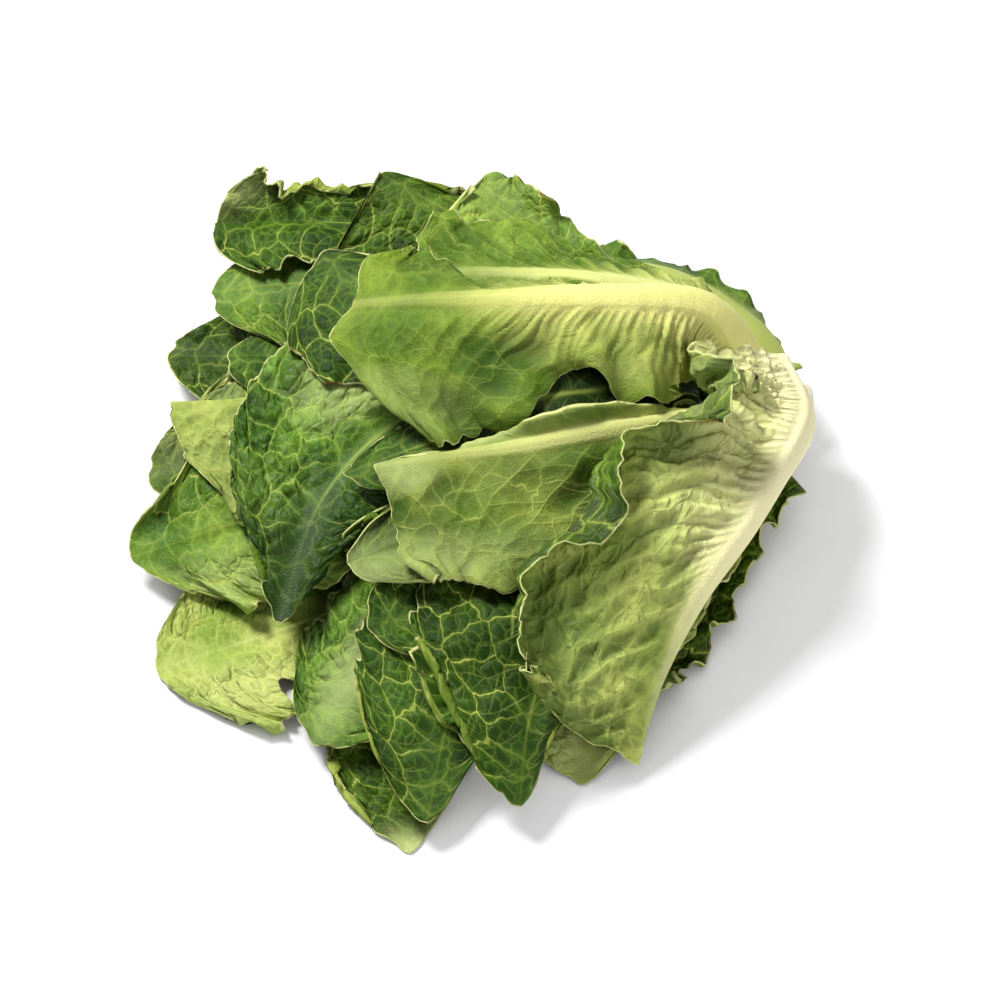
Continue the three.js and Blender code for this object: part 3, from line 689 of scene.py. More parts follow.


# Leaves from the lowest to the highest, with the same shapes as the solids. Their tints paint
# light and shade: positive ones are partly real bleaching and partly painted light and highlights,
# negative ones are painted shade.
LEAVES = (
    leaf("leaf_floor_right", Face.DOWN,
         ((114, 2, 16), (88, -14, 5), (66, -46, 1), (50, -80, 1), (40, -108, 1)),
         (28, 5, 10, 15, 0.12), (26, 0, 0, 0, 0.25), (0.45, 0.5, 0.6), (7, 2), (3, 7), DEEP,
         pitch=8, cross=12, blister=1.4),
    leaf("leaf_floor_corner", Face.DOWN,
         ((100, 12, 14), (54, -38, 1), (2, -84, 1), (-26, -128, 1), (-34, -166, 1)),
         (12, 0, 0, 0, 0.1), (50, 0, 0, 0, 0.18), (0.3, 0.7, 0.55), (7, 2), (2, 4), DEEP,
         pitch=11, cross=10, tints=(Tint(1.0, 0, 0.06, 8, 0.9),)),
    leaf("leaf_floor_left", Face.DOWN,
         ((100, 20, 14), (40, -10, 1), (-35, -44, 1), (-92, -70, 4), (-132, -84, 2)),
         (42, 0, -4, 0, 0.12), (44, 0, 4, 0, 0.12), (0.25, 0.78, 0.7), (8, 2), (2, 4), PALE,
         pitch=11, cross=10, swell=2.6, ruffle=2.0,
         bulges=(Bulge(-1, 0.9, 0.06, 3.0), Bulge(-1, 0.775, 0.045, -18.0)),
         tints=(Tint(0.85, -24, 0.2, 20, 0.35), Tint(0.62, 22, 0.24, 20, -0.8))),
    leaf("leaf_floor_back", Face.DOWN,
         ((114, 34, 16), (98, 52, 8), (74, 74, 4), (50, 94, 1), (32, 114, 1)),
         (28, 8, 10, 10, 0.25), (14, 10, 20, 20, 0.25), (0.45, 0.6, 0.6), (7, 2), (2.5, 5), DEEP),
    leaf("leaf_floor_back_left", Face.DOWN,
         ((98, 28, 14), (50, 58, 1), (-5, 88, 1), (-65, 108, 3), (-116, 118, 2)),
         (32, 0, 0, 0, 0.2), (30, 0, 10, 0, 0.2), (0.3, 0.65, 0.6), (7, 2), (2, 4), DEEP),
    leaf("leaf_floor_front", Face.DOWN,
         ((108, 2, 20), (84, -34, 10), (56, -76, 9), (38, -112, 6), (30, -136, 1)),
         (14, 0, 0, 0, 0.25), (38, 0, 5, 0, 0.1), (0.4, 0.7, 0.75), (6, 1.5), (2, 4), PALE,
         # painted light on the tip, which lies in the shade of leaf_front
         pitch=12, cross=13, tints=(Tint(0.9, 10, 0.3, 30, 0.5),)),
    leaf("leaf_fan_high", Face.DOWN,
         ((88, 26, 14), (40, 36, 16), (-20, 46, 18), (-85, 58, 18), (-136, 66, 12)),
         (44, 0, 5, 0, 0.15), (38, 0, 5, 0, 0.15), (0.3, 0.78, 0.7), (6, 1.5), (2, 4), DEEP,
         pitch=12, cross=11, blister=1.6,
         tints=(Tint(0.6, 0, 0.4, 40, -0.7),)),
    leaf("leaf_fan_mid", Face.DOWN,
         ((86, 18, 16), (35, 14, 18), (-30, 10, 20), (-95, 8, 20), (-140, 4, 10)),
         (38, 0, 5, 0, 0.12), (38, 0, 5, 0, 0.12), (0.3, 0.75, 0.7), (6, 1.5), (2.5, 5), DEEP,
         pitch=12, cross=11, blister=1.6, swell=2.4, tints=(Tint(0.9, 20, 0.2, 20, 0.35),)),
    leaf("leaf_back_shoulder", Face.UP,
         ((110, 34, 36), (96, 57, 41), (66, 82, 42), (26, 100, 28), (-10, 116, 12)),
         (44, 25, 10, -20, 0.15), (20, -10, -10, -20, 0.15), (0.3, 0.65, 0.7), (9, 4), (2, 4),
         outer=BACK_DARK, ruffle=3.2),
    leaf("leaf_fan_blistered", Face.DOWN,
         ((84, 6, 16), (36, -24, 26), (-14, -60, 26), (-50, -94, 20), (-70, -124, 10)),
         (34, 0, 5, 0, 0.1), (34, 0, -5, -10, 0.15), (0.3, 0.7, 0.7), (6, 1.5), (2, 4), BLISTERED,
         pitch=7.5, cross=8, blister=1.1, swell=2.2,
         # the first tint is a painted highlight on the glossy blisters near the tip
         tints=(Tint(0.75, 2, 0.2, 12, 0.55), Tint(0.85, 30, 0.3, 10, -0.5))),
    leaf("leaf_fan_low", Face.DOWN,
         ((84, 12, 20), (30, 0, 24), (-40, -16, 26), (-100, -30, 22), (-144, -38, 12)),
         (34, 0, -20, -10, 0.15), (40, 5, 20, 0, 0.12), (0.3, 0.75, 0.6), (6, 1.5), (2, 4), BRIGHT,
         pitch=10, cross=12, blister=0.7, swell=2.4, ruffle=2.6,
         tints=(Tint(0.85, -22, 0.25, 12, 0.4), Tint(0.8, 22, 0.3, 18, -0.5))),
    leaf("leaf_fan_slim", Face.DOWN,
         ((78, 24, 24), (35, 34, 28), (-20, 42, 32), (-70, 48, 32), (-110, 52, 28)),
         (34, 0, -5, 0, 0.1), (24, 0, 5, 0, 0.15), (0.35, 0.7, 0.7), (5, 1.5), (1.5, 3), VEINED,
         pitch=14, cross=13, blister=0.6),
    leaf("leaf_fan_smooth", Face.DOWN,
         ((78, 28, 30), (35, 50, 34), (-25, 70, 40), (-76, 80, 40), (-118, 84, 30)),
         (34, 0, -15, -20, 0.1), (28, 0, 10, 0, 0.12), (0.35, 0.7, 0.75), (5, 1.5), (1, 3), BRIGHT,
         pitch=15, cross=14, blister=0.3, swell=1.2,
         tints=(Tint(0.98, -6, 0.12, 16, 0.15), Tint(0.65, 10, 0.4, 40, -0.75))),
    leaf("leaf_turned_over", Face.UP,
         ((72, 18, 26), (30, 14, 34), (-30, 16, 38), (-85, 18, 40), (-130, 18, 38)),
         (72, -10, -26, -10, 0.12), (14, -60, -100, -40, 0.05), (0.25, 0.75, 0.7), (5, 1), (1, 3),
         # a painted sheen on the left half
         outer=BACK, blister=0.8, swell=2.2, tints=(Tint(0.9, -28, 0.4, 40, 0.2),)),
    leaf("leaf_cupped", Face.DOWN,
         ((80, 32, 24), (35, 66, 28), (-20, 92, 32), (-74, 110, 32), (-118, 118, 32)),
         (26, 10, -10, 20, 0.05), (24, 20, 50, 20, 0.02), (0.25, 0.85, 0.9), (5, 1.5), (1, 3), VEINED,
         pitch=14, cross=13, blister=1.3,
         bulges=(Bulge(1, 0.97, 0.08, 7.0), Bulge(-1, 0.95, 0.1, 3.0)),
         curls=(Curl(1, 0.66, 0.24, 7.0, 165.0, 7.0, 1.4),), tints=(Tint(1.0, 18, 0.08, 10, 0.7),)),
    leaf("leaf_fan_corner", Face.DOWN,
         ((84, 2, 22), (50, -38, 30), (4, -80, 30), (-18, -120, 24), (-27, -160, 12)),
         (26, 0, -5, 0, 0.3), (46, 5, 0, 0, 0.2), (0.35, 0.66, 0.6), (5, 1.5), (1, 3), VEINED,
         pitch=15, cross=16, blister=0.5, tints=(Tint(0.6, -4, 0.3, 26, -0.3),)),
    leaf("leaf_frill_lower", Face.DOWN,
         ((72, 4, 30), (40, -32, 36), (5, -58, 36), (-24, -76, 32), (-50, -86, 26)),
         (26, 5, 5, 0, 0.15), (30, 5, 10, 10, 0.1), (0.45, 0.6, 0.8), (4, 1.5), (4, 4), VEINED,
         pitch=12, cross=12, ruffle=2.0),
    leaf("leaf_fan_front", Face.DOWN,
         ((90, 0, 28), (62, -38, 34), (28, -82, 34), (12, -120, 28), (7, -155, 15)),
         (22, 0, -10, 0, 0.3), (60, 5, 0, 0, 0.25), (0.35, 0.55, 0.5), (5, 1.5), (1.5, 3), VEINED,
         pitch=17, cross=17, blister=0.6, swell=2.0, ruffle=1.8,
         tints=(Tint(0.6, 16, 0.35, 40, -0.5),)),
    leaf("leaf_front_inner", Face.UP,
         ((108, 2, 30), (90, -26, 28), (66, -56, 26), (46, -82, 20), (36, -104, 12)),
         (12, -20, -20, -20, 0.2), (36, 30, 15, -30, 0.2), (0.4, 0.6, 0.6), (8, 3), (1, 3)),
    leaf("leaf_peak", Face.DOWN,
         ((82, 34, 36), (52, 58, 46), (12, 78, 58), (-22, 96, 67), (-48, 108, 75)),
         (44, -10, -20, -10, -0.12), (14, 0, 0, 0, 0.2), (0.4, 0.65, 0.6), (5, 1.5), (1, 3), DEEP,
         pitch=11, cross=10, blister=1.0, bulges=(Bulge(-1, 0.4, 0.2, 5.0),)),
    leaf("leaf_ruffled", Face.DOWN,
         ((84, 34, 42), (64, 50, 42), (34, 70, 54), (8, 90, 62), (-12, 104, 66)),
         (28, -10, -10, 0, 0), (16, 0, 10, 0, -0.02), (0.1, 0.85, 0.95), (5, 1.5), (3.5, 4), BRIGHT,
         pitch=8, cross=8, blister=2.0, ruffle=2.4, tints=(Tint(0.95, 0, 0.3, 30, 0.15),)),
    leaf("leaf_fan_broad", Face.DOWN,
         ((70, 18, 34), (22, 16, 44), (-34, 6, 46), (-68, -30, 40), (-84, -78, 24)),
         (46, 0, 5, 0, 0.3), (60, 5, 0, 0, 0.18), (0.3, 0.55, 0.3), (6, 2), (1, 4), BLISTERED,
         pitch=9.5, cross=10, blister=1.9, swell=2.2, ruffle=1.8, spacing=1.3,
         # the first tint is a painted highlight on the right half
         tints=(Tint(0.5, 24, 0.22, 24, 0.8), Tint(0.95, 0, 0.35, 60, -0.8),
                Tint(0.45, -10, 0.3, 20, -0.3))),
    leaf("leaf_frill_upper", Face.DOWN,
         ((70, 8, 38), (38, -22, 46), (5, -40, 46), (-28, -54, 42), (-58, -60, 34)),
         (26, 0, -5, 0, 0.15), (22, 0, 5, 0, 0.15), (0.45, 0.6, 0.7), (4, 1.5), (3, 4), VEINED,
         pitch=12, cross=12, tints=(Tint(0.95, -8, 0.2, 14, 0.4),)),
    leaf("heart_leaf_low", Face.DOWN,
         ((78, 18, 44), (48, 14, 50), (20, 12, 54), (-8, 12, 56)),
         (30, 10, 20, 40, 0.1), (30, 10, 20, 40, 0.1), (0.5, 0.6, 0.8), (4, 1.5), (2, 4), HEART,
         slot="heart_leaf", ruffle=2.6),
    leaf("heart_leaf_high", Face.DOWN,
         ((76, 20, 50), (52, 18, 55), (30, 16, 58), (6, 18, 60)),
         (22, 10, 20, 40, 0.1), (22, 10, 20, 40, 0.1), (0.5, 0.6, 0.8), (4, 1.5), (2, 4), HEART,
         slot="heart_leaf", ruffle=3.0),
    leaf("leaf_under_tip", Face.DOWN,
         ((66, 30, 54), (30, 38, 64), (-14, 44, 66), (-50, 56, 65), (-72, 76, 62)),
         (42, -10, -20, 0, 0.07), (20, 0, 0, 0, 0.2), (0.4, 0.7, 0.7), (4, 1.5), (1, 3), VEINED,
         blister=0.4, swell=0.8, pitch=16, cross=15, bulges=(Bulge(-1, 0.95, 0.2, 3.0),),
         # painted shade over the base, in the hollow under leaf_top
         tints=(Tint(0.15, 0, 0.4, 60, -1.0),)),
    leaf("leaf_flap", Face.DOWN,
         ((68, 8, 50), (34, -4, 58), (0, -12, 60), (-32, -20, 58), (-60, -28, 52)),
         (28, -10, -15, 0, 0.15), (18, 0, -10, 0, 0.15), (0.4, 0.65, 0.6), (4, 1.5), (1, 3), VEINED,
         # painted shade over the base, in the hollow under leaf_top
         tints=(Tint(0.15, 0, 0.4, 60, -1.0),)),
    leaf("leaf_middle", Face.UP,
         ((98, 8, 52), (80, -6, 62), (50, -18, 68), (10, -28, 68), (-20, -30, 64), (-48, -30, 56)),
         (62, -20, -25, -25, 0), (16, -30, -50, -40, 0.1), (0.35, 0.65, 0.88), (6, 4), (1, 3),
         outer=BACK_THIN, pitch=17, cross=15, blister=0.6, swell=2.4, spacing=1.3, slant=0.5,
         tints=(Tint(0.87, 12, 0.3, 9, 0.95), Tint(0.92, -7, 0.12, 8, 0.7),
                Tint(0.9, -46, 0.3, 14, 0.35), Tint(0.5, -12, 0.4, 12, -0.6)),
         bulges=(Bulge(1, 0.45, 0.28, -13.0),)),
    leaf("leaf_crest", Face.UP,
         ((98, 34, 54), (76, 42, 72), (38, 46, 80), (0, 50, 80), (-38, 54, 76)),
         (26, 0, -10, -20, 0.1), (40, -10, -10, -30, -0.02), (0.12, 0.85, 0.95), (6, 4), (2, 3),
         outer=BACK_CREST, pitch=9, cross=12, blister=0.9, swell=2.0, ruffle=2.0, spacing=1.3,
         slant=0.4,
         tints=(Tint(0.6, 8, 0.5, 12, -0.35), Tint(0.9, 0, 0.3, 30, -0.3)),
         crinkles=(Crinkle(0.5, 0.4, 4.0, 26.0, 2.4),)),
    leaf("leaf_top", Face.UP,
         ((102, 26, 58), (80, 32, 84), (42, 26, 95), (2, 24, 95), (-32, 26, 91), (-66, 30, 83)),
         (64, -20, -20, -35, 0.16), (14, -40, 0, -20, 0.02), (0.35, 0.75, 0.8), (8, 6), (2, 4),
         outer=BACK_WARM, bite=(0.5, 0.12, -0.45), flare=(1.0, 0.28, 2.0),
         pitch=10, cross=13, blister=0.25, swell=2.4, ruffle=1.6, spacing=1.25, slant=-0.15,
         tip=((-1.0, 0.0), (-0.6, 4.0), (-0.25, -4.0), (0.0, 10.0), (0.5, 5.0), (1.0, 0.0)),
         flounces=(Flounce(-1, 0.36, 0.16, 5.0, 20.0),),
         crinkles=(Crinkle(0.4, 0.3, 3.0, 24.0, 1.8),),
         # the third tint is painted shade in the groove beside the midrib on the right half
         tints=(Tint(0.6, -20, 0.3, 8, -0.6), Tint(0.38, -28, 0.14, 6, 0.35),
                Tint(0.45, 13, 0.35, 5, -0.5), Tint(0.95, -40, 0.2, 20, 0.3))),
    leaf("leaf_front", Face.UP,
         ((115, 30, 41), (122, 5, 42), (115, -17, 43), (98, -50, 46), (76, -81, 40), (60, -108, 24),
          (52, -130, 3)),
         (14, -110, -110, -40, 0.05), (64, 72, 50, -65, 0.03), (0.7, 0.78, 0.85), (13, 8), (1, 3),
         outer=BACK_WHITE, pitch=11, cross=9, blister=1.5, swell=2.0, ruffle=2.0, spacing=1.2,
         slant=-0.2,
         bulges=(Bulge(1, 0.92, 0.07, -12.0),), curls=(Curl(1, 0.64, 0.27, 25.0, 168.0, 19.0, 1.8),),
         crinkles=(Crinkle(0.4, 0.24, 8.0, 56.0, 4.0), Crinkle(0.1, 0.25, 14.0, 60.0, 1.6)),
         tints=(Tint(0.25, 20, 0.22, 34, 0.6), Tint(0.42, 24, 0.16, 24, 0.5),
                Tint(0.3, 50, 0.16, 22, 0.3), Tint(0.8, 30, 0.2, 34, 0.2))),
)


# ---------------------------------------------------------------- small helpers


Values = float | np.ndarray


def mix(a: Values, b: Values, t: Values) -> Values:
    """Blends from a to b as t goes from 0 to 1."""
    return a + (b - a) * t


def smoothstep(low: float, high: float, value: Values) -> Values:
    """Rises smoothly from 0 at low to 1 at high, and falls where high is less than low."""
    t = np.clip((value - low) / (high - low), 0.0, 1.0)
    return t * t * (3.0 - 2.0 * t)


def unit(vectors: np.ndarray) -> np.ndarray:
    """Vectors along the last axis, at length 1."""
    return vectors / np.maximum(np.linalg.norm(vectors, axis=-1, keepdims=True), 1e-9)


class Noise:
    """Smooth value noise on a repeating lattice, between -1 and 1."""

    SIDE = 64  # points along each side of the lattice

    def __init__(self, seed: int) -> None:
        """Draws the lattice for a seed."""
        self.lattice = np.random.default_rng(seed).uniform(-1.0, 1.0, (self.SIDE, self.SIDE))

    def __call__(self, x: Values, y: Values) -> np.ndarray:
        """Noise at some places of the lattice.

        Args:
            x: Places along it.
            y: Places across it.

        Returns:
            The noise at each place.
        """
        x, y = np.broadcast_arrays(np.asarray(x, float), np.asarray(y, float))
        left, low = np.floor(x).astype(int), np.floor(y).astype(int)
        fx, fy = x - left, y - low
        fx, fy = fx * fx * (3 - 2 * fx), fy * fy * (3 - 2 * fy)

        def at(i: int, j: int) -> np.ndarray:
            """Lattice values at a corner of each place's cell."""
            return self.lattice[(left + i) % self.SIDE, (low + j) % self.SIDE]

        return mix(mix(at(0, 0), at(1, 0), fx), mix(at(0, 1), at(1, 1), fx), fy)


def blurred(values: np.ndarray, passes: int) -> np.ndarray:
    """Blurs a grid, with its edges repeated outwards.

    Args:
        values: The grid.
        passes: How often it is blurred by one cell.

    Returns:
        The blurred grid.
    """
    for _ in range(passes):
        padded = np.pad(values, 1, mode="edge")
        values = (4 * values + padded[:-2, 1:-1] + padded[2:, 1:-1] + padded[1:-1, :-2]
                  + padded[1:-1, 2:]) / 8
    return values


def widened(values: np.ndarray, passes: int) -> np.ndarray:
    """Gives each value the greatest of itself and its neighbours.

    Args:
        values: The grid.
        passes: How many cells away a neighbour may be.

    Returns:
        The widened grid.
    """
    for _ in range(passes):
        padded = np.pad(values, 1, mode="edge")
        values = np.maximum.reduce([values, padded[:-2, 1:-1], padded[2:, 1:-1], padded[1:-1, :-2],
                                    padded[1:-1, 2:]])
    return values


# ---------------------------------------------------------------- the shape of a leaf


class Spine:
    """Smooth curve through a leaf's midrib points."""

    STEP = 1e-4  # step on each side of a point at which the tangent is taken
    SAMPLES = 200  # points at which the length is measured

    def __init__(self, points: tuple[tuple[float, float, float], ...]) -> None:
        """Adds a point beyond each end, so that the curve passes through both.

        Args:
            points: The points it passes through.
        """
        inner = np.array(points, float)
        first, last = 2 * inner[0] - inner[1], 2 * inner[-1] - inner[-2]
        self.points = np.vstack([first, inner, last])
        self.spans = len(inner) - 1

    def point(self, t: np.ndarray) -> np.ndarray:
        """Places points on the curve.

        Args:
            t: Places along it, from 0 to 1.

        Returns:
            The points.
        """
        place = np.clip(t, 0.0, 1.0) * self.spans
        span = np.minimum(np.floor(place).astype(int), self.spans - 1)
        w = (place - span)[..., None]
        before, start, end, after = (self.points[span + k] for k in range(4))
        leave, arrive = (end - before) / 2, (after - start) / 2
        return (start + leave * w + (3 * (end - start) - 2 * leave - arrive) * w ** 2
                + (2 * (start - end) + leave + arrive) * w ** 3)

    def direction(self, t: np.ndarray) -> np.ndarray:
        """Unit tangents at t."""
        low, high = np.clip(t - self.STEP, 0, 1), np.clip(t + self.STEP, 0, 1)
        return unit(self.point(high) - self.point(low))

    def length(self) -> float:
        """Length of the curve, in millimetres."""
        line = self.point(np.linspace(0, 1, self.SAMPLES))
        return float(np.linalg.norm(np.diff(line, axis=0), axis=1).sum())


def outline_share(outline: tuple, u: np.ndarray) -> np.ndarray:
    """Gives the width of a leaf as a share of its greatest width.

    Args:
        outline: Share at the base, place of the greatest width, and share at the tip.
        u: Places along the midrib.

    Returns:
        The share at each place.
    """
    base, peak, tip = outline
    rising = mix(base, 1.0, np.sin(math.pi / 2 * np.minimum(u / peak, 1.0)))
    falling = mix(1.0, tip, np.maximum((u - peak) / (1 - peak), 0.0) ** 2)
    return np.where(u < peak, rising, falling)


def stretch_share(stretch: tuple, u: np.ndarray) -> Values:
    """Gives the change of a half's width where it has a narrow or a wide stretch.

    Args:
        stretch: Where it is, its span and the share by which it is wider, or nothing.
        u: Places along the midrib.

    Returns:
        A factor on the width at each place.
    """
    if not stretch:
        return 1.0
    place, span, change = stretch
    return 1 + change * np.exp(-(((u - place) / span) ** 2))


def rib_half(shape: Leaf, u: np.ndarray) -> np.ndarray:
    """Half width of the midrib at u."""
    return shape.rib[0] * mix(1.0, 0.12, u)


def half_width(shape: Leaf, u: np.ndarray, side: int) -> np.ndarray:
    """Gives the distance from the midrib's middle to the margin.

    Args:
        shape: The leaf.
        u: Places along the midrib.
        side: 1 right of the midrib and -1 left of it.

    Returns:
        The distance at each place.
    """
    whole = shape.half(side).width * outline_share(shape.outline, u)
    whole = whole * stretch_share(shape.bite if side < 0 else shape.flare, u)
    return np.maximum(whole, rib_half(shape, u) + 1)


def blade_points(shape: Leaf, spine: Spine, u: np.ndarray, side: int, share: np.ndarray) -> np.ndarray:
    """Places points on a leaf's middle surface.

    Args:
        shape: The leaf.
        spine: Curve through its midrib.
        u: Places along the midrib.
        side: 1 right of the midrib and -1 left of it.
        share: Places across the half, from 0 at the midrib's edge to 1 at the margin.

    Returns:
        The points.
    """
    blade = shape.half(side)
    fall_back = blade.sweep * share ** 2 * u ** 2 + blade.notch * np.sin(math.pi * share) * u ** 6
    t = u * (1 - fall_back)
    forward = spine.direction(t)
    across = unit(np.cross(forward, (0.0, 0.0, 1.0)))
    up = unit(np.cross(across, forward))
    across = across * side

    width = half_width(shape, u, side)
    distance = mix(rib_half(shape, u), width, share)
    lean = np.radians(mix(blade.lean_base, blade.lean_tip, u))
    turn = np.radians(blade.bend * distance / width)
    chord = distance * np.sinc(turn / 2 / math.pi)
    frill, waves = shape.frill
    wave = frill * share ** 2 * np.sin(2 * math.pi * waves * u + side)
    out = chord * np.cos(lean + turn / 2) - wave * np.sin(lean + turn)
    lift = chord * np.sin(lean + turn / 2) + wave * np.cos(lean + turn)
    return spine.point(t) + across * out[..., None] + up * lift[..., None]


def grid_normals(grid: np.ndarray) -> np.ndarray:
    """Works out normals, which look upwards where the leaf lies flat.

    Args:
        grid: Points in rows along the midrib and columns across it.

    Returns:
        A unit normal for each point.
    """
    rows, columns = grid.shape[:2]
    r, c = np.arange(rows), np.arange(columns)
    along = grid[np.minimum(r + 1, rows - 1)] - grid[np.maximum(r - 1, 0)]
    across = grid[:, np.minimum(c + 1, columns - 1)] - grid[:, np.maximum(c - 1, 0)]
    return unit(np.cross(across, along))


# ---------------------------------------------------------------- the heap of leaves


class Heap:
    """Height map of the leaves that already lie on the surface."""

    def __init__(self, cell: float) -> None:
        """Starts an empty map.

        Args:
            cell: Side of a cell, in millimetres.
        """
        self.cell = cell
        self.side = int(2 * HEAP_HALF / cell)
        self.heights = np.full((self.side, self.side), -AIR)

    def index(self, values: Values | Sequence[float]) -> np.ndarray:
        """Cells of some places along one axis."""
        cells = np.floor((np.asarray(values) + HEAP_HALF) / self.cell).astype(int)
        return np.clip(cells, 0, self.side - 1)

    def height_near(self, x: float, y: float, reach: float) -> float:
        """Greatest height within reach of a place."""
        i, j = self.index((x - reach, x + reach)), self.index((y - reach, y + reach))
        return max(-AIR, self.heights[i[0]:i[1] + 1, j[0]:j[1] + 1].max())

    def height_at(self, points: np.ndarray) -> np.ndarray:
        """Heights at many places."""
        return self.heights[self.index(points[..., 0]), self.index(points[..., 1])]

    def add_points(self, points: np.ndarray) -> None:
        """Raises the map to some points."""
        flat = points.reshape(-1, 3)
        np.maximum.at(self.heights, (self.index(flat[:, 0]), self.index(flat[:, 1])), flat[:, 2])

    def add_grid(self, upper: np.ndarray) -> None:
        """Adds a coarse face, sampled between its points about once a cell.

        Args:
            upper: Grid of its points.
        """
        for row in range(upper.shape[0] - 1):
            for column in range(upper.shape[1] - 1):
                a, b = upper[row, column], upper[row, column + 1]
                c, d = upper[row + 1, column], upper[row + 1, column + 1]
                steps = math.ceil(max(np.linalg.norm(a - d), np.linalg.norm(b - c)) / self.cell)
                down = np.linspace(0, 1, steps + 1)[:, None, None]
                over = np.linspace(0, 1, steps + 1)[None, :, None]
                self.add_points(mix(mix(a, c, down), mix(b, d, down), over))


def coarse_grid(shape: Leaf) -> np.ndarray:
    """Places a leaf's points at the stations of the solids.

    Args:
        shape: The leaf.

    Returns:
        Rows along the midrib, with columns from the left margin to the right one.
    """
    spine = Spine(shape.spine)
    u = np.linspace(0, 1, COARSE_ROWS)
    stations = [(-1, share) for share in reversed(COARSE_SHARES)]
    stations += [(1, share) for share in COARSE_SHARES]
    return np.stack([blade_points(shape, spine, u, side, np.full_like(u, share))
                     for side, share in stations], axis=1)


def coarse_faces(shape: Leaf, grid: np.ndarray) -> tuple[np.ndarray, np.ndarray]:
    """Thickens a leaf as in the solids.

    Args:
        shape: The leaf.
        grid: Its middle surface at the stations of the solids.

    Returns:
        Its upper and its lower face.
    """
    rib = np.zeros(grid.shape[:2])
    on_rib = slice(len(COARSE_SHARES) - 1, len(COARSE_SHARES) + 1)
    rib[:, on_rib] = (shape.rib[1] * mix(1.0, 0.1, np.linspace(0, 1, COARSE_ROWS)))[:, None]
    above = BLADE / 2 + (rib if shape.back is Face.UP else 0)
    below = BLADE / 2 + (0 if shape.back is Face.UP else rib)
    normals = grid_normals(grid)
    upper = grid + normals * np.broadcast_to(above, rib.shape)[..., None]
    lower = grid - normals * np.broadcast_to(below, rib.shape)[..., None]
    upper[..., 2] = np.maximum(upper[..., 2], BLADE / 2)
    lower[..., 2] = np.maximum(lower[..., 2], 0.0)
    return upper, lower


def coarse_lift(shape: Leaf, heap: Heap) -> np.ndarray:
    """Lays a leaf on the solids' heap.

    Args:
        shape: The leaf.
        heap: The heap, to which the leaf is added.

    Returns:
        How far each of its stations is lifted.
    """
    grid = coarse_grid(shape)
    _, lower = coarse_faces(shape, grid)
    freedom = np.minimum(np.linspace(0, 1, COARSE_ROWS) / FREE_FROM, 1.0)
    needed = np.array([[max(0.0, heap.height_near(x, y, HEAP_REACH) + AIR - z) for x, y, z in row]
                       for row in lower])
    needed *= freedom[:, None]
    lift = needed
    for _ in range(SPREAD_PASSES):
        padded = np.pad(lift, 1, mode="edge")
        mean = (padded[:-2, 1:-1] + padded[2:, 1:-1] + padded[1:-1, :-2] + padded[1:-1, 2:]) / 4
        lift = np.maximum(needed, mean)
    grid[..., 2] += lift
    heap.add_grid(coarse_faces(shape, grid)[0])
    return lift


# ---------------------------------------------------------------- a fine blade


def spread_lift(lift: np.ndarray, side: int, u: np.ndarray, share: np.ndarray) -> np.ndarray:
    """Spreads the lifts of the solids' stations over the fine points of one half.

    Args:
        lift: Lifts of the solids' stations.
        side: 1 right of the midrib and -1 left of it.
        u: Places along the midrib.
        share: Places across the half.

    Returns:
        The lift at each place.
    """
    count = len(COARSE_SHARES)
    half = lift[:, count:] if side > 0 else lift[:, count - 1::-1]
    row = u * (COARSE_ROWS - 1)
    low = np.minimum(np.floor(row).astype(int), COARSE_ROWS - 2)
    part = row - low
    column = np.interp(share, COARSE_SHARES, np.arange(count))
    left = np.minimum(np.floor(column).astype(int), count - 2)
    over = column - left
    return mix(mix(half[low, left], half[low + 1, left], part),
               mix(half[low, left + 1], half[low + 1, left + 1], part), over)


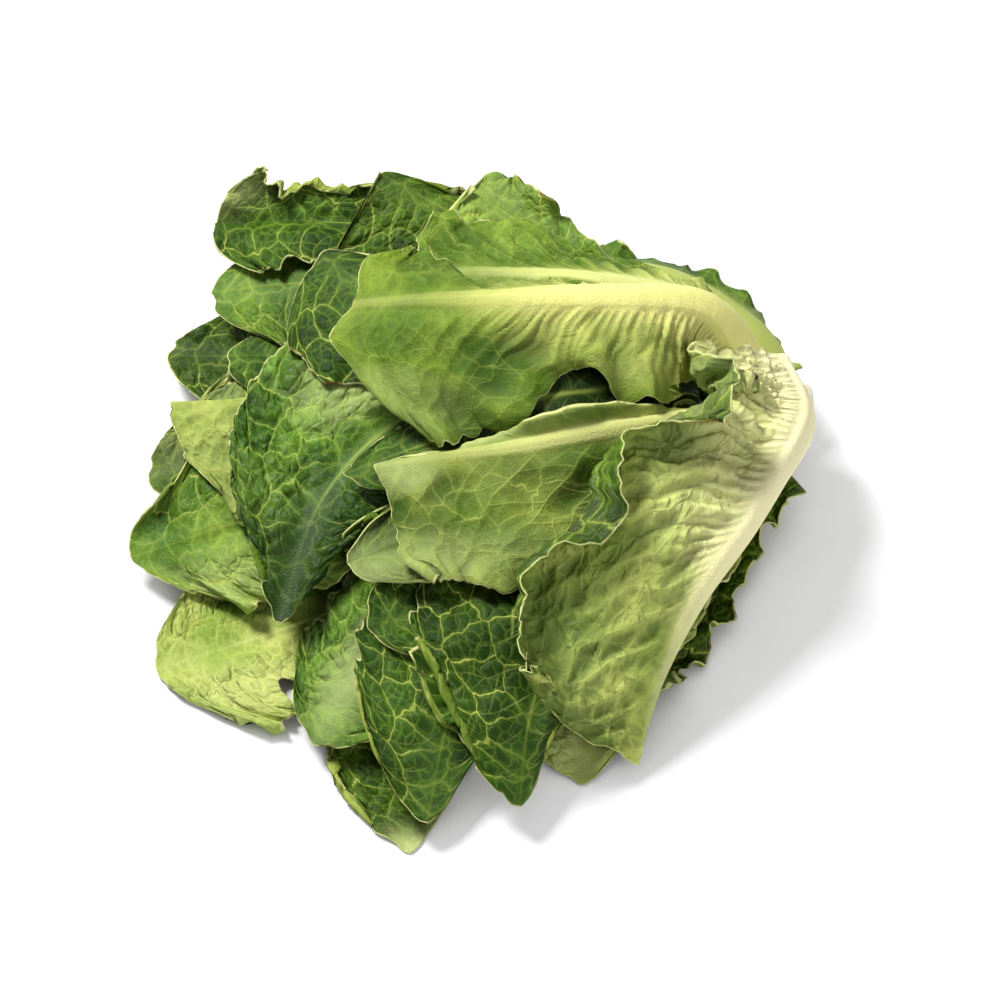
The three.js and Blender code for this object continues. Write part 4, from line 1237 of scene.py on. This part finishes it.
@dataclass
class Blade:
    """A leaf at its fine points, which lie in rows along the midrib and columns across it.

    It is made from the leaf, the seed of its own noise and the lift of the solids' stations.
    Each point knows its place along the midrib as a share, u, and in millimetres, along; its
    distance from the midrib's middle, negative on the left; its share of the half width; its
    distance beyond the midrib that shows and in from the margin, edge; and its phase and cell,
    which count side ribs and cross veins, with a vein on each whole number.
    """

    shape: Leaf
    seed: int
    station_lift: np.ndarray
    lobes: tuple = ((3.8, 15.0, 7.3), (2.2, 6.0, 3.1), (1.2, 2.6, 11.7))  # reach, length, noise row
    tip_lobes: tuple = ((2.5, 13.0, 40.0), (0.8, 4.0, 50.0))  # the same, for the tip
    narrowest: float = 20.0  # half width at which the lobes are in proportion
    fewest: int = 6  # columns across a half
    rib_columns: int = 7  # columns across the midrib
    inside: float = 30.0  # distance from the margin that the midrib is given
    inner_rib: float = 0.15  # the midrib shows on the inner face as a line this share as wide
    plain: float = 0.45  # thickness between the ribs

    SKIP = 0.618  # each row of cells between two side ribs starts this share of a cell further on

    def __post_init__(self) -> None:
        """Lays out the points, with the midrib between the two halves."""
        shape = self.shape
        self.noise = Noise(self.seed)
        self.spine = Spine(shape.spine)
        self.length = self.spine.length()
        self.rows = np.linspace(0, 1, round(self.length / shape.spacing) + 1)[:, None]
        left, right = (self.half(side) for side in (-1, 1))
        across = np.linspace(0, 1, self.rib_columns + 2)[None, 1:-1]
        half = rib_half(shape, self.rows)
        rib = {
            "points": mix(left["points"][:, :1], right["points"][:, :1], across[..., None]),
            "lift": mix(left["lift"][:, :1], right["lift"][:, :1], across),
            "distance": half * (2 * across - 1),
            "edge": np.full((len(half), self.rib_columns), self.inside),
            "share": np.zeros((len(half), self.rib_columns)),
        }
        self.points, self.lift, self.distance, edge, self.share = (
            np.concatenate([left[name][:, ::-1], rib[name], right[name]], axis=1) for name in rib)
        self.u = np.broadcast_to(self.rows, self.distance.shape)
        self.along = self.u * self.length
        self.edge = np.minimum(edge, (1 - self.u) * self.length)
        seen = half * (1.0 if shape.back is Face.UP else self.inner_rib)
        self.beyond = np.maximum(np.abs(self.distance) - seen, 0.0)
        self.in_rib = np.abs(self.distance) / seen
        self.phase, self.cell = self.veins()
        self.relief = self.inner_relief()
        self.back = self.back_thickness(np.abs(self.distance) / half)

    def half(self, side: int) -> dict[str, np.ndarray]:
        """Works out one half, from the midrib's edge to the margin.

        Args:
            side: 1 right of the midrib and -1 left of it.

        Returns:
            Points, lift, distance from the midrib, distance from the margin, and share of the width.
        """
        shape, noise = self.shape, self.noise
        widest = shape.half(side).width
        columns = max(round(widest / shape.spacing), self.fewest)
        u, share = np.broadcast_arrays(self.rows, np.linspace(0, 1, columns + 1)[None, :])
        along = u * self.length
        ragged = sum(reach * noise(along / size, place * side) for reach, size, place in self.lobes)
        wider = sum(curl.wider * np.exp(-(((u - curl.place) / curl.span) ** 4))
                    for curl in shape.curls if curl.side == side)
        wider = wider + sum(bulge.out * np.exp(-(((u - bulge.place) / bulge.span) ** 2))
                            for bulge in shape.bulges if bulge.side == side)
        ragged = 1 + (ragged + wider) / max(widest, self.narrowest)
        width = half_width(shape, u, side)
        short = self.tip_retreat(share, side) * u ** 8
        points = blade_points(shape, self.spine, u * (1 - short), side, share * ragged)
        edge = width * ragged * (1 - share)
        for flounce in shape.flounces:
            if flounce.side == side:
                window = np.exp(-(((u - flounce.place) / flounce.span) ** 4)) * share ** 2
                wave = 2 * math.pi * along / flounce.wave + 1.5 * noise(along / 18, 60 + side)
                points[..., 2] += flounce.height * window * np.sin(wave)
        for curl in shape.curls:
            if curl.side == side:
                points = self.curled(points, edge, curl)
        return {"points": points, "lift": spread_lift(self.station_lift, side, u, share), "edge": edge,
                "distance": side * mix(rib_half(shape, u), width, share * ragged), "share": share}

    def tip_retreat(self, share: np.ndarray, side: int) -> np.ndarray:
        """Works out how far the tip falls back across the leaf, since it is round and ragged.

        Args:
            share: Share of the half width.
            side: 1 right of the midrib and -1 left of it.

        Returns:
            The retreat as a share of the length.
        """
        across = share * self.shape.half(side).width
        lobes = sum(reach * self.noise(across / size, place + side)
                    for reach, size, place in self.tip_lobes)
        retreat = 0.1 * share ** 5 + (lobes + 1.5) / self.length * np.minimum(share * 6, 1)
        if self.shape.tip:
            places, retreats = zip(*self.shape.tip)
            retreat = retreat + np.interp(side * share, places, retreats) / self.length
        return retreat

    def curled(self, points: np.ndarray, edge: np.ndarray, curl: Curl) -> np.ndarray:
        """Rolls or folds a strip of the margin over, up from the face that shows.

        Args:
            points: One half of the blade.
            edge: Distance of each point from the margin.
            curl: Where and how far it turns, which the noise makes uneven.

        Returns:
            The half with its margin turned.
        """
        u = self.rows[:, 0]
        window = np.exp(-(((u - curl.place) / curl.span) ** 4))
        uneven = 1 + 0.3 * self.noise(u * 9, 70 + curl.side)
        result = points.copy()
        for row in range(points.shape[0]):
            angle = math.radians(curl.angle) * window[row] * min(uneven[row], 1.05)
            strip = curl.strip * uneven[row]
            start = int(np.searchsorted(-edge[row], -strip))
            if start < 2 or start >= points.shape[1] - 1 or abs(angle) < 0.05:
                continue
            base = points[row, start]
            out = unit(base - points[row, start - 2])
            along = points[min(row + 1, len(points) - 1), start] - points[max(row - 1, 0), start]
            normal = unit(np.cross(out, along))
            normal = normal if normal[2] > 0 else -normal
            radius = curl.radius or strip / angle
            gone = edge[row, start] - edge[row, start:]
            turned = np.minimum(gone / radius, angle)
            straight = gone - turned * radius
            ahead = radius * np.sin(turned) + straight * np.cos(turned)
            above = radius * (1 - np.cos(turned)) + straight * np.sin(turned)
            result[row, start:] = base + np.outer(ahead, out) + np.outer(above, normal)
        return result

    def veins(self) -> tuple[np.ndarray, np.ndarray]:
        """Counts side ribs, which lean more towards the tip, and cells out from the midrib.

        Returns:
            The count of side ribs, and the count of cells between two of them.
        """
        shape, noise, along, beyond = self.shape, self.noise, self.along, self.beyond
        side = np.sign(self.distance)
        slant = mix(shape.slant, 0.95, smoothstep(0.1, 0.8, along / along.max()))
        start = along - slant * beyond * (1 - 0.15 * np.minimum(beyond / 40, 1))
        start = start - 4 * (1 - np.exp(-beyond / 5))
        loose = smoothstep(0.0, 25.0, beyond)
        wobble = mix(0.06, 0.34, loose) * noise(along / 14 + 5 * side, beyond / 12)
        wobble = wobble + 0.1 * loose * noise(along / 6 + 5 * side, beyond / 5)
        phase = start / shape.pitch + wobble + 0.37 * side + 8
        cross = beyond / shape.cross + 0.3 * noise(along / 13, 9 + beyond / 13 + 3 * side)
        return phase, cross + 4

    def back_thickness(self, off: np.ndarray) -> np.ndarray:
        """Works out how thick the leaf is, measured on its back.

        Args:
            off: Distance from the midrib's middle as a share of its half width.

        Returns:
            Thickness of the blade, its domed midrib and its side ribs.
        """
        u, beyond, back = self.u, self.beyond, self.shape.outer
        domed = np.clip(1 - (off / 1.2) ** 2, 0.0, 1.0) ** 0.8
        crown = mix(smoothstep(2.0, 0.2, off), domed, 0.4)
        midrib = self.shape.rib[1] * mix(1.0, 0.05, u) * crown
        ridge = (0.5 + 0.5 * np.cos(2 * math.pi * self.phase)) ** 5
        ridge = 1.4 * ridge * np.exp(-beyond / 45) * mix(1.0, 0.6, u)
        fan = (0.5 + 0.5 * np.cos(2 * math.pi * TissuePainter.FINE_RIBS * self.phase)) ** 2
        fan = 0.5 * fan * np.exp(-beyond / back.pale_reach) * back.fan * mix(1.0, 0.4, u)
        side_ribs = smoothstep(1.0, 10.0, beyond) * ridge + smoothstep(1.5, 9.0, beyond) * fan
        return self.plain + midrib + side_ribs

    def inner_relief(self) -> np.ndarray:
        """Adds up blisters, pleats, swells and the margin's ruffle over the plain blade.

        Returns:
            Heights towards the inner face.
        """
        shape, noise, beyond, phase = self.shape, self.noise, self.beyond, self.phase
        free = smoothstep(1.0, 10.0, beyond)
        row = np.floor(phase)
        place, out = phase % 1, (self.cell + row * self.SKIP) % 1
        dome = np.sqrt(16 * place * (1 - place) * out * (1 - out))
        size = 0.7 + 0.5 * noise(row * 3.7, np.floor(self.cell + row * self.SKIP) * 5.3)
        height = free * shape.blister * 1.7 * dome ** 0.8 * size
        swell = 1.3 * noise(self.along / 27, self.distance / 27)
        swell = swell + 0.7 * noise(self.along / 12 + 9, self.distance / 12)
        height = height + free * shape.swell * swell * mix(0.6, 1.2, self.share)
        for crinkle in shape.crinkles:
            window = np.exp(-(((self.u - crinkle.place) / crinkle.span) ** 4))
            window = window * smoothstep(crinkle.start - 6, crinkle.start + 6, beyond)
            window = window * smoothstep(crinkle.end + 10, crinkle.end - 10, beyond)
            pleat = 1 - 2 * np.abs(noise(phase * 3.4 + 31, beyond / 24 + 5))
            small = noise(phase * 8.0 + 17, beyond / 10 + 3)
            height = height + crinkle.depth * window * (0.75 * pleat + 0.4 * small)
        ruffle = 1.7 * noise(self.along / 11, 20 + np.sign(self.distance))
        ruffle = ruffle + 0.8 * noise(self.along / 5, 30 + self.distance / 30)
        return height + shape.ruffle * ruffle * self.share ** 3

    def tone(self) -> np.ndarray:
        """Adds up the leaf's tints.

        Returns:
            How much paler the leaf is painted, partly bleaching and partly painted light, and where
            negative how much painted shade it has.
        """
        tone = np.zeros_like(self.distance)
        for tint in self.shape.tints:
            away = ((self.u - tint.along) / tint.length) ** 2
            away = away + ((self.distance - tint.across) / tint.width) ** 2
            tone = tone + tint.tone * np.exp(-away)
        return tone

    def map(self) -> np.ndarray:
        """The blade laid flat, for its UV map."""
        return np.stack([self.along, self.distance], axis=-1) / PLACE_UNIT

    def patterns(self) -> dict[str, np.ndarray]:
        """Gathers what the finish reads from the mesh.

        Returns:
            Three numbers for each point, by the name of their attribute.
        """
        tone = self.tone()
        return {
            "veins": np.stack([self.phase, self.cell, self.edge], axis=-1),
            "reach": np.stack([self.u, self.beyond, self.in_rib], axis=-1),
            "state": np.stack([self.relief / RELIEF_UNIT, tone, np.zeros_like(tone)], axis=-1),
        }


@dataclass
class Bed:
    """Lays fine leaves one after another on the heap of those before them.

    A leaf is lifted clear of those under it, and the lift is widened and blurred by some cells so that
    the leaf bends softly. It is free to rise only beyond its base.
    """

    lift_blur: int = 30
    clearance: float = 0.5
    reach: int = 6
    blur: int = 28
    count: int = 0
    coarse: Heap = field(default_factory=lambda: Heap(HEAP_CELL))
    fine: Heap = field(default_factory=lambda: Heap(FINE_CELL))

    def lay(self, shape: Leaf) -> Blade:
        """Works out a leaf's blade and lays it on the heap.

        Args:
            shape: The leaf's place, shape and relief.

        Returns:
            The blade, whose points are those of its inner face.
        """
        self.count += 1
        blade = Blade(shape, self.count, coarse_lift(shape, self.coarse))
        blade.points[..., 2] += blurred(blade.lift, self.lift_blur)
        inwards = -1.0 if shape.back is Face.UP else 1.0
        points = blade.points + grid_normals(blade.points) * (inwards * blade.relief)[..., None]
        blade.points = self.draped(points, blade)
        return blade

    def draped(self, points: np.ndarray, blade: Blade) -> np.ndarray:
        """Lifts a leaf clear of the leaves under it, then adds it to the heap.

        Args:
            points: Its inner face.
            blade: The blade, with its back's thickness.

        Returns:
            The lifted points.
        """
        back = blade.back
        thickness = grid_normals(points) * back[..., None]
        up = blade.shape.back is Face.UP
        under = points if up else points - thickness
        need = np.maximum(self.fine.height_at(under) + self.clearance - under[..., 2], 0.0)
        need = need * np.minimum(blade.u / FREE_FROM, 1.0)
        lift = np.maximum(blurred(widened(need, self.reach), self.blur), need)
        points = points.copy()
        points[..., 2] += blurred(lift, 2)
        points[..., 2] = np.maximum(points[..., 2], (0.0 if up else back) + 0.02)
        over = points + thickness if up else points
        self.fine.add_points(over)
        self.fine.add_points((over[1:, 1:] + over[:-1, :-1] + over[1:, :-1] + over[:-1, 1:]) / 4)
        return points


# ---------------------------------------------------------------- the head


def flat_grid(name: str, columns: int, rows: int, size: float) -> bpy.types.Mesh:
    """Makes a mesh of a flat square grid.

    Args:
        name: Name of the mesh.
        columns: Points across.
        rows: Points down.
        size: Half its side.

    Returns:
        The mesh.
    """
    shell = bmesh.new()
    bmesh.ops.create_grid(shell, x_segments=columns - 1, y_segments=rows - 1, size=size)
    mesh = bpy.data.meshes.new(name)
    shell.to_mesh(mesh)
    shell.free()
    return mesh


def placed(name: str, mesh: bpy.types.Mesh) -> bpy.types.Object:
    """Puts a mesh into the scene as an object at the origin.

    Args:
        name: Name of the object.
        mesh: The mesh.

    Returns:
        The object.
    """
    piece = bpy.data.objects.new(name, mesh)
    bpy.context.scene.collection.objects.link(piece)
    return piece


def fitted(piece: bpy.types.Object, node: str, slot: str) -> None:
    """Makes a piece stand for its solid, whose part it hides, and ride on the head.

    Args:
        piece: The finished piece.
        node: Name of its solid.
        slot: Name of its material slot; not used.
    """
    piece.data.polygons.foreach_set("use_smooth", np.ones(len(piece.data.polygons), dtype=bool))
    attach(piece, "root")
    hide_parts(node)
    log.info("%s: %d faces", piece.name, len(piece.data.polygons))


@dataclass
class Foliage:
    """All the leaves, from the lowest to the highest, and their shift from the tables' frame."""

    leaves: tuple[Leaf, ...] = LEAVES
    shift: np.ndarray = field(default_factory=lambda: np.zeros(3))
    finishes: dict[str, bpy.types.Material] = field(default_factory=dict)

    def build(self) -> None:
        """Makes every leaf."""
        bed = Bed()
        for shape in self.leaves:
            self.add_leaf(bed.lay(shape))

    def finish(self, tissue: Tissue) -> bpy.types.Material:
        """Finds the material of one face, which is made once for each tissue.

        Args:
            tissue: The face's finish.

        Returns:
            Its material.
        """
        if tissue.name not in self.finishes:
            self.finishes[tissue.name] = tissue.material()
        return self.finishes[tissue.name]

    def add_leaf(self, blade: Blade) -> None:
        """Makes one leaf's object.

        Args:
            blade: Its fine points, back thickness and patterns.
        """
        shape = blade.shape
        rows, columns = blade.back.shape
        mesh = flat_grid(shape.name + "_leaf", columns, rows, 0.5)
        places = np.empty(rows * columns * 3)
        mesh.vertices.foreach_get("co", places)
        places = places.reshape(-1, 3)
        column = np.rint((places[:, 0] + 0.5) * (columns - 1)).astype(int)
        row = np.rint((places[:, 1] + 0.5) * (rows - 1)).astype(int)
        mesh.vertices.foreach_set("co", ((blade.points[row, column] + self.shift) * MM).ravel())

        uv = mesh.uv_layers.new(name="flat")
        corners = np.empty(len(mesh.loops), dtype=int)
        mesh.loops.foreach_get("vertex_index", corners)
        uv.data.foreach_set("uv", blade.map()[row, column][corners].ravel())
        for name, values in blade.patterns().items():
            layer = mesh.attributes.new(name, "FLOAT_VECTOR", "POINT")
            layer.data.foreach_set("vector", values[row, column].ravel())

        mesh.materials.append(self.finish(shape.inner))
        mesh.materials.append(self.finish(shape.outer))
        if shape.back is Face.UP:
            mesh.flip_normals()
        piece = placed(mesh.name, mesh)
        self.thicken(piece, blade.back[row, column])
        mesh.update()
        fitted(piece, shape.name, shape.slot)

    @staticmethod
    def thicken(piece: bpy.types.Object, back: np.ndarray) -> None:
        """Gives the sheet its back, thick at the ribs.

        Args:
            piece: The leaf's object, whose faces look away from its back.
            back: Thickness at each vertex, in millimetres.
        """
        most = float(back.max())
        group = piece.vertex_groups.new(name="thickness")
        shares = np.round(back / most, 3)  # steps of a thousandth, so that each is one call
        for share in np.unique(shares):
            group.add(np.flatnonzero(shares == share).tolist(), float(share), "REPLACE")
        solid = piece.modifiers.new("back", "SOLIDIFY")
        solid.thickness = most * MM
        solid.vertex_group = "thickness"
        solid.offset = -1.0
        solid.use_quality_normals = True
        solid.material_offset = 1
        solid.material_offset_rim = 0


@dataclass
class CutStem:
    """The stem: a blunt cone with a ragged, slightly hollow cut, between its solid's two corners.

    Its profile is a share of the radius out and a distance in from the cut, in millimetres, and it
    ends in a small point at the solid's inner end. ragged is the depth of its dents and cut_depth how
    far in the cut's browning reaches, in millimetres.
    """

    low: Vector
    high: Vector
    profile: tuple = ((0.0, 1.6), (0.45, 1.2), (0.86, 0.0), (1.0, 1.2), (1.0, 8.0), (0.97, 14.0),
                      (0.75, 25.0), (0.5, 36.0))
    inner_end: float = 0.05
    steps: int = 64
    ragged: float = 0.6
    dent: float = 6.0  # length of a dent, in millimetres
    dents_round: float = 3.0  # dents to a radian
    cut_depth: float = 1.8
    seed: int = 91
    finish: StemFlesh = StemFlesh()

    def build(self) -> None:
        """Turns the profile, closes it, roughens it and puts it where the solid is."""
        radius = (self.high.z - self.low.z) / 2
        middle = Vector((self.high.x, (self.low.y + self.high.y) / 2, (self.low.z + self.high.z) / 2))
        turned = bmesh.new()
        line = [turned.verts.new((-depth * MM, out * radius, 0.0)) for out, depth in self.profile]
        line.append(turned.verts.new((self.low.x - self.high.x, self.inner_end * radius, 0.0)))
        edges = [turned.edges.new(pair) for pair in zip(line, line[1:])]
        bmesh.ops.spin(turned, geom=line + edges, cent=(0, 0, 0), axis=(1, 0, 0), angle=2 * math.pi,
                       steps=self.steps, use_merge=True)
        bmesh.ops.remove_doubles(turned, verts=turned.verts, dist=0.01 * MM)
        bmesh.ops.subdivide_edges(turned, edges=turned.edges, cuts=1, use_grid_fill=True)
        bmesh.ops.holes_fill(turned, edges=[edge for edge in turned.edges if edge.is_boundary])
        bmesh.ops.recalc_face_normals(turned, faces=turned.faces)
        cut = self.roughened(turned, radius)
        bmesh.ops.translate(turned, vec=middle, verts=turned.verts)
        mesh = bpy.data.meshes.new("stem_core_flesh")
        turned.to_mesh(mesh)
        turned.free()
        layer = mesh.attributes.new("cut", "FLOAT", "POINT")
        layer.data.foreach_set("value", cut)
        mesh.materials.append(self.finish.material())
        fitted(placed(mesh.name, mesh), "stem_core", "stem")

    def roughened(self, turned: bmesh.types.BMesh, radius: float) -> list[float]:
        """Dents the stem's sides unevenly, but not the middle of its cut.

        Args:
            turned: The stem, whose cut lies at X = 0.
            radius: Its radius.

        Returns:
            1 for each point that belongs to the cut and 0 for the others.
        """
        noise = Noise(self.seed)
        cut = []
        for vert in turned.verts:
            angle = math.atan2(vert.co.z, vert.co.y)
            away = math.hypot(vert.co.y, vert.co.z)
            uneven = float(noise(angle * self.dents_round, vert.co.x / MM / self.dent))
            dent = self.ragged * MM * uneven
            if away > 0.4 * radius:
                vert.co += Vector((0, math.cos(angle), math.sin(angle))) * min(dent, 0.0)
            cut.append(1.0 if vert.co.x > -self.cut_depth * MM else 0.0)
        return cut


# ---------------------------------------------------------------- the studio


@dataclass(frozen=True)
class Lamp:
    """A square soft light: its place from the head's middle, its side and its power in watts."""

    name: str
    place: tuple[float, float, float]
    size: float
    power: float


@dataclass
class Studio:
    """White paper sweep, soft light and camera. Lengths are metres."""

    aim: Vector
    elevation: float = math.radians(52)
    distance: float = 1.3333
    lens: float = 120.0
    sensor: float = 36.0
    floor_half: float = 6.0
    floor_glow: float = 0.47
    contact: float = 0.03  # how near a leaf the paper's glow fades
    ambient: float = 0.11
    paper: str = "#bcbcbe"
    paper_in_light: str = "#f0f0f0"
    lamps: tuple[Lamp, ...] = (Lamp("key", (-0.66, 0.48, 1.3), 0.42, 37.0),
                               Lamp("fill", (0.9, -1.3, 1.1), 1.4, 17.0))

    def build(self) -> None:
        """Makes everything round the head."""
        self.add_floor()
        self.add_camera()
        for lamp in self.lamps:
            self.add_lamp(lamp)
        self.add_world()

    @staticmethod
    def seen(nodes: Nodes) -> bpy.types.NodeSocket:
        """Tells rays that see a thing from those that light it.

        Args:
            nodes: The tree.

        Returns:
            1 for rays from the camera, straight or by glass or gloss, and 0 for light.
        """
        camera, gloss, glass = (nodes.add("LightPath", {}, f"Is {kind} Ray")
                                for kind in ("Camera", "Glossy", "Transmission"))
        straight = nodes.add("Math", {0: camera, 1: gloss}, operation="MAXIMUM")
        return nodes.add("Math", {0: straight, 1: glass}, operation="MAXIMUM")

    def add_floor(self) -> None:
        """Lays matt white paper that glows for the camera and keeps a soft shadow, with painted
        contact shade where its glow fades near the leaves.
        """
        floor = placed("floor", flat_grid("floor", 2, 2, self.floor_half))
        material = bpy.data.materials.new("white_paper_sweep")
        nodes = Nodes(material)
        seen = self.seen(nodes)
        # The glow fades near the leaves as painted contact shade.
        open_sky = nodes.add("AmbientOcclusion", {"Distance": self.contact}, "AO", samples=4)
        glow = nodes.add("MapRange", {0: open_sky, 1: 0.15, 2: 0.95, 4: self.floor_glow},
                         **nodes.SMOOTH)
        paper = nodes.add("Mix", {0: seen, 6: self.paper_in_light, 7: self.paper}, 2, data_type="RGBA")
        nodes.fill(nodes.tree.nodes["Principled BSDF"], {
            "Base Color": paper,
            "Emission Color": "#ffffff",
            "Emission Strength": nodes.add("Math", {0: glow, 1: seen}, operation="MULTIPLY"),
            "Roughness": 0.9,
            "Specular IOR Level": 0.0,
        })
        floor.data.materials.append(material)

    def add_camera(self) -> None:
        """Long lens that looks down at the head from the front."""
        data = bpy.data.cameras.new("camera")
        data.lens = self.lens
        data.sensor_width = self.sensor
        camera = bpy.data.objects.new("camera", data)
        bpy.context.scene.collection.objects.link(camera)
        towards = Vector((0, math.cos(self.elevation), -math.sin(self.elevation)))
        camera.location = self.aim - towards * self.distance
        camera.rotation_euler = towards.to_track_quat("-Z", "Y").to_euler()
        bpy.context.scene.camera = camera

    def add_lamp(self, lamp: Lamp) -> None:
        """Adds a lamp that looks at the head.

        Args:
            lamp: Its place, side and power.
        """
        data = bpy.data.lights.new(lamp.name, "AREA")
        data.size = lamp.size
        data.energy = lamp.power
        place = Vector(lamp.place)
        light = bpy.data.objects.new(lamp.name, data)
        bpy.context.scene.collection.objects.link(light)
        light.location = self.aim + place
        light.rotation_euler = (-place).to_track_quat("-Z", "Y").to_euler()

    def add_world(self) -> None:
        """Even surroundings, seen as white."""
        world = bpy.data.worlds.new("studio")
        nodes = Nodes(world)
        level = nodes.add("MapRange", {0: self.seen(nodes), 3: self.ambient, 4: 1.0})
        nodes.fill(nodes.tree.nodes["Background"], {"Color": "#ffffff", "Strength": level})
        bpy.context.scene.world = world


def main() -> None:
    """Loads the frame, builds the studio, the leaves and the stem, shifted onto the solids."""
    logging.basicConfig(level=logging.INFO)
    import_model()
    bpy.context.scene.view_settings.view_transform = "Standard"
    low, high = (Vector(corner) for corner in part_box("stem_core"))
    shift = np.array([high.x / MM - CORE_END, (low.y + high.y) / 2 / MM - CORE_MIDDLE, 0.0])
    Studio(Vector(shift) * MM).build()
    Foliage(shift=shift).build()
    CutStem(low, high).build()


if __name__ == "__main__":
    main()
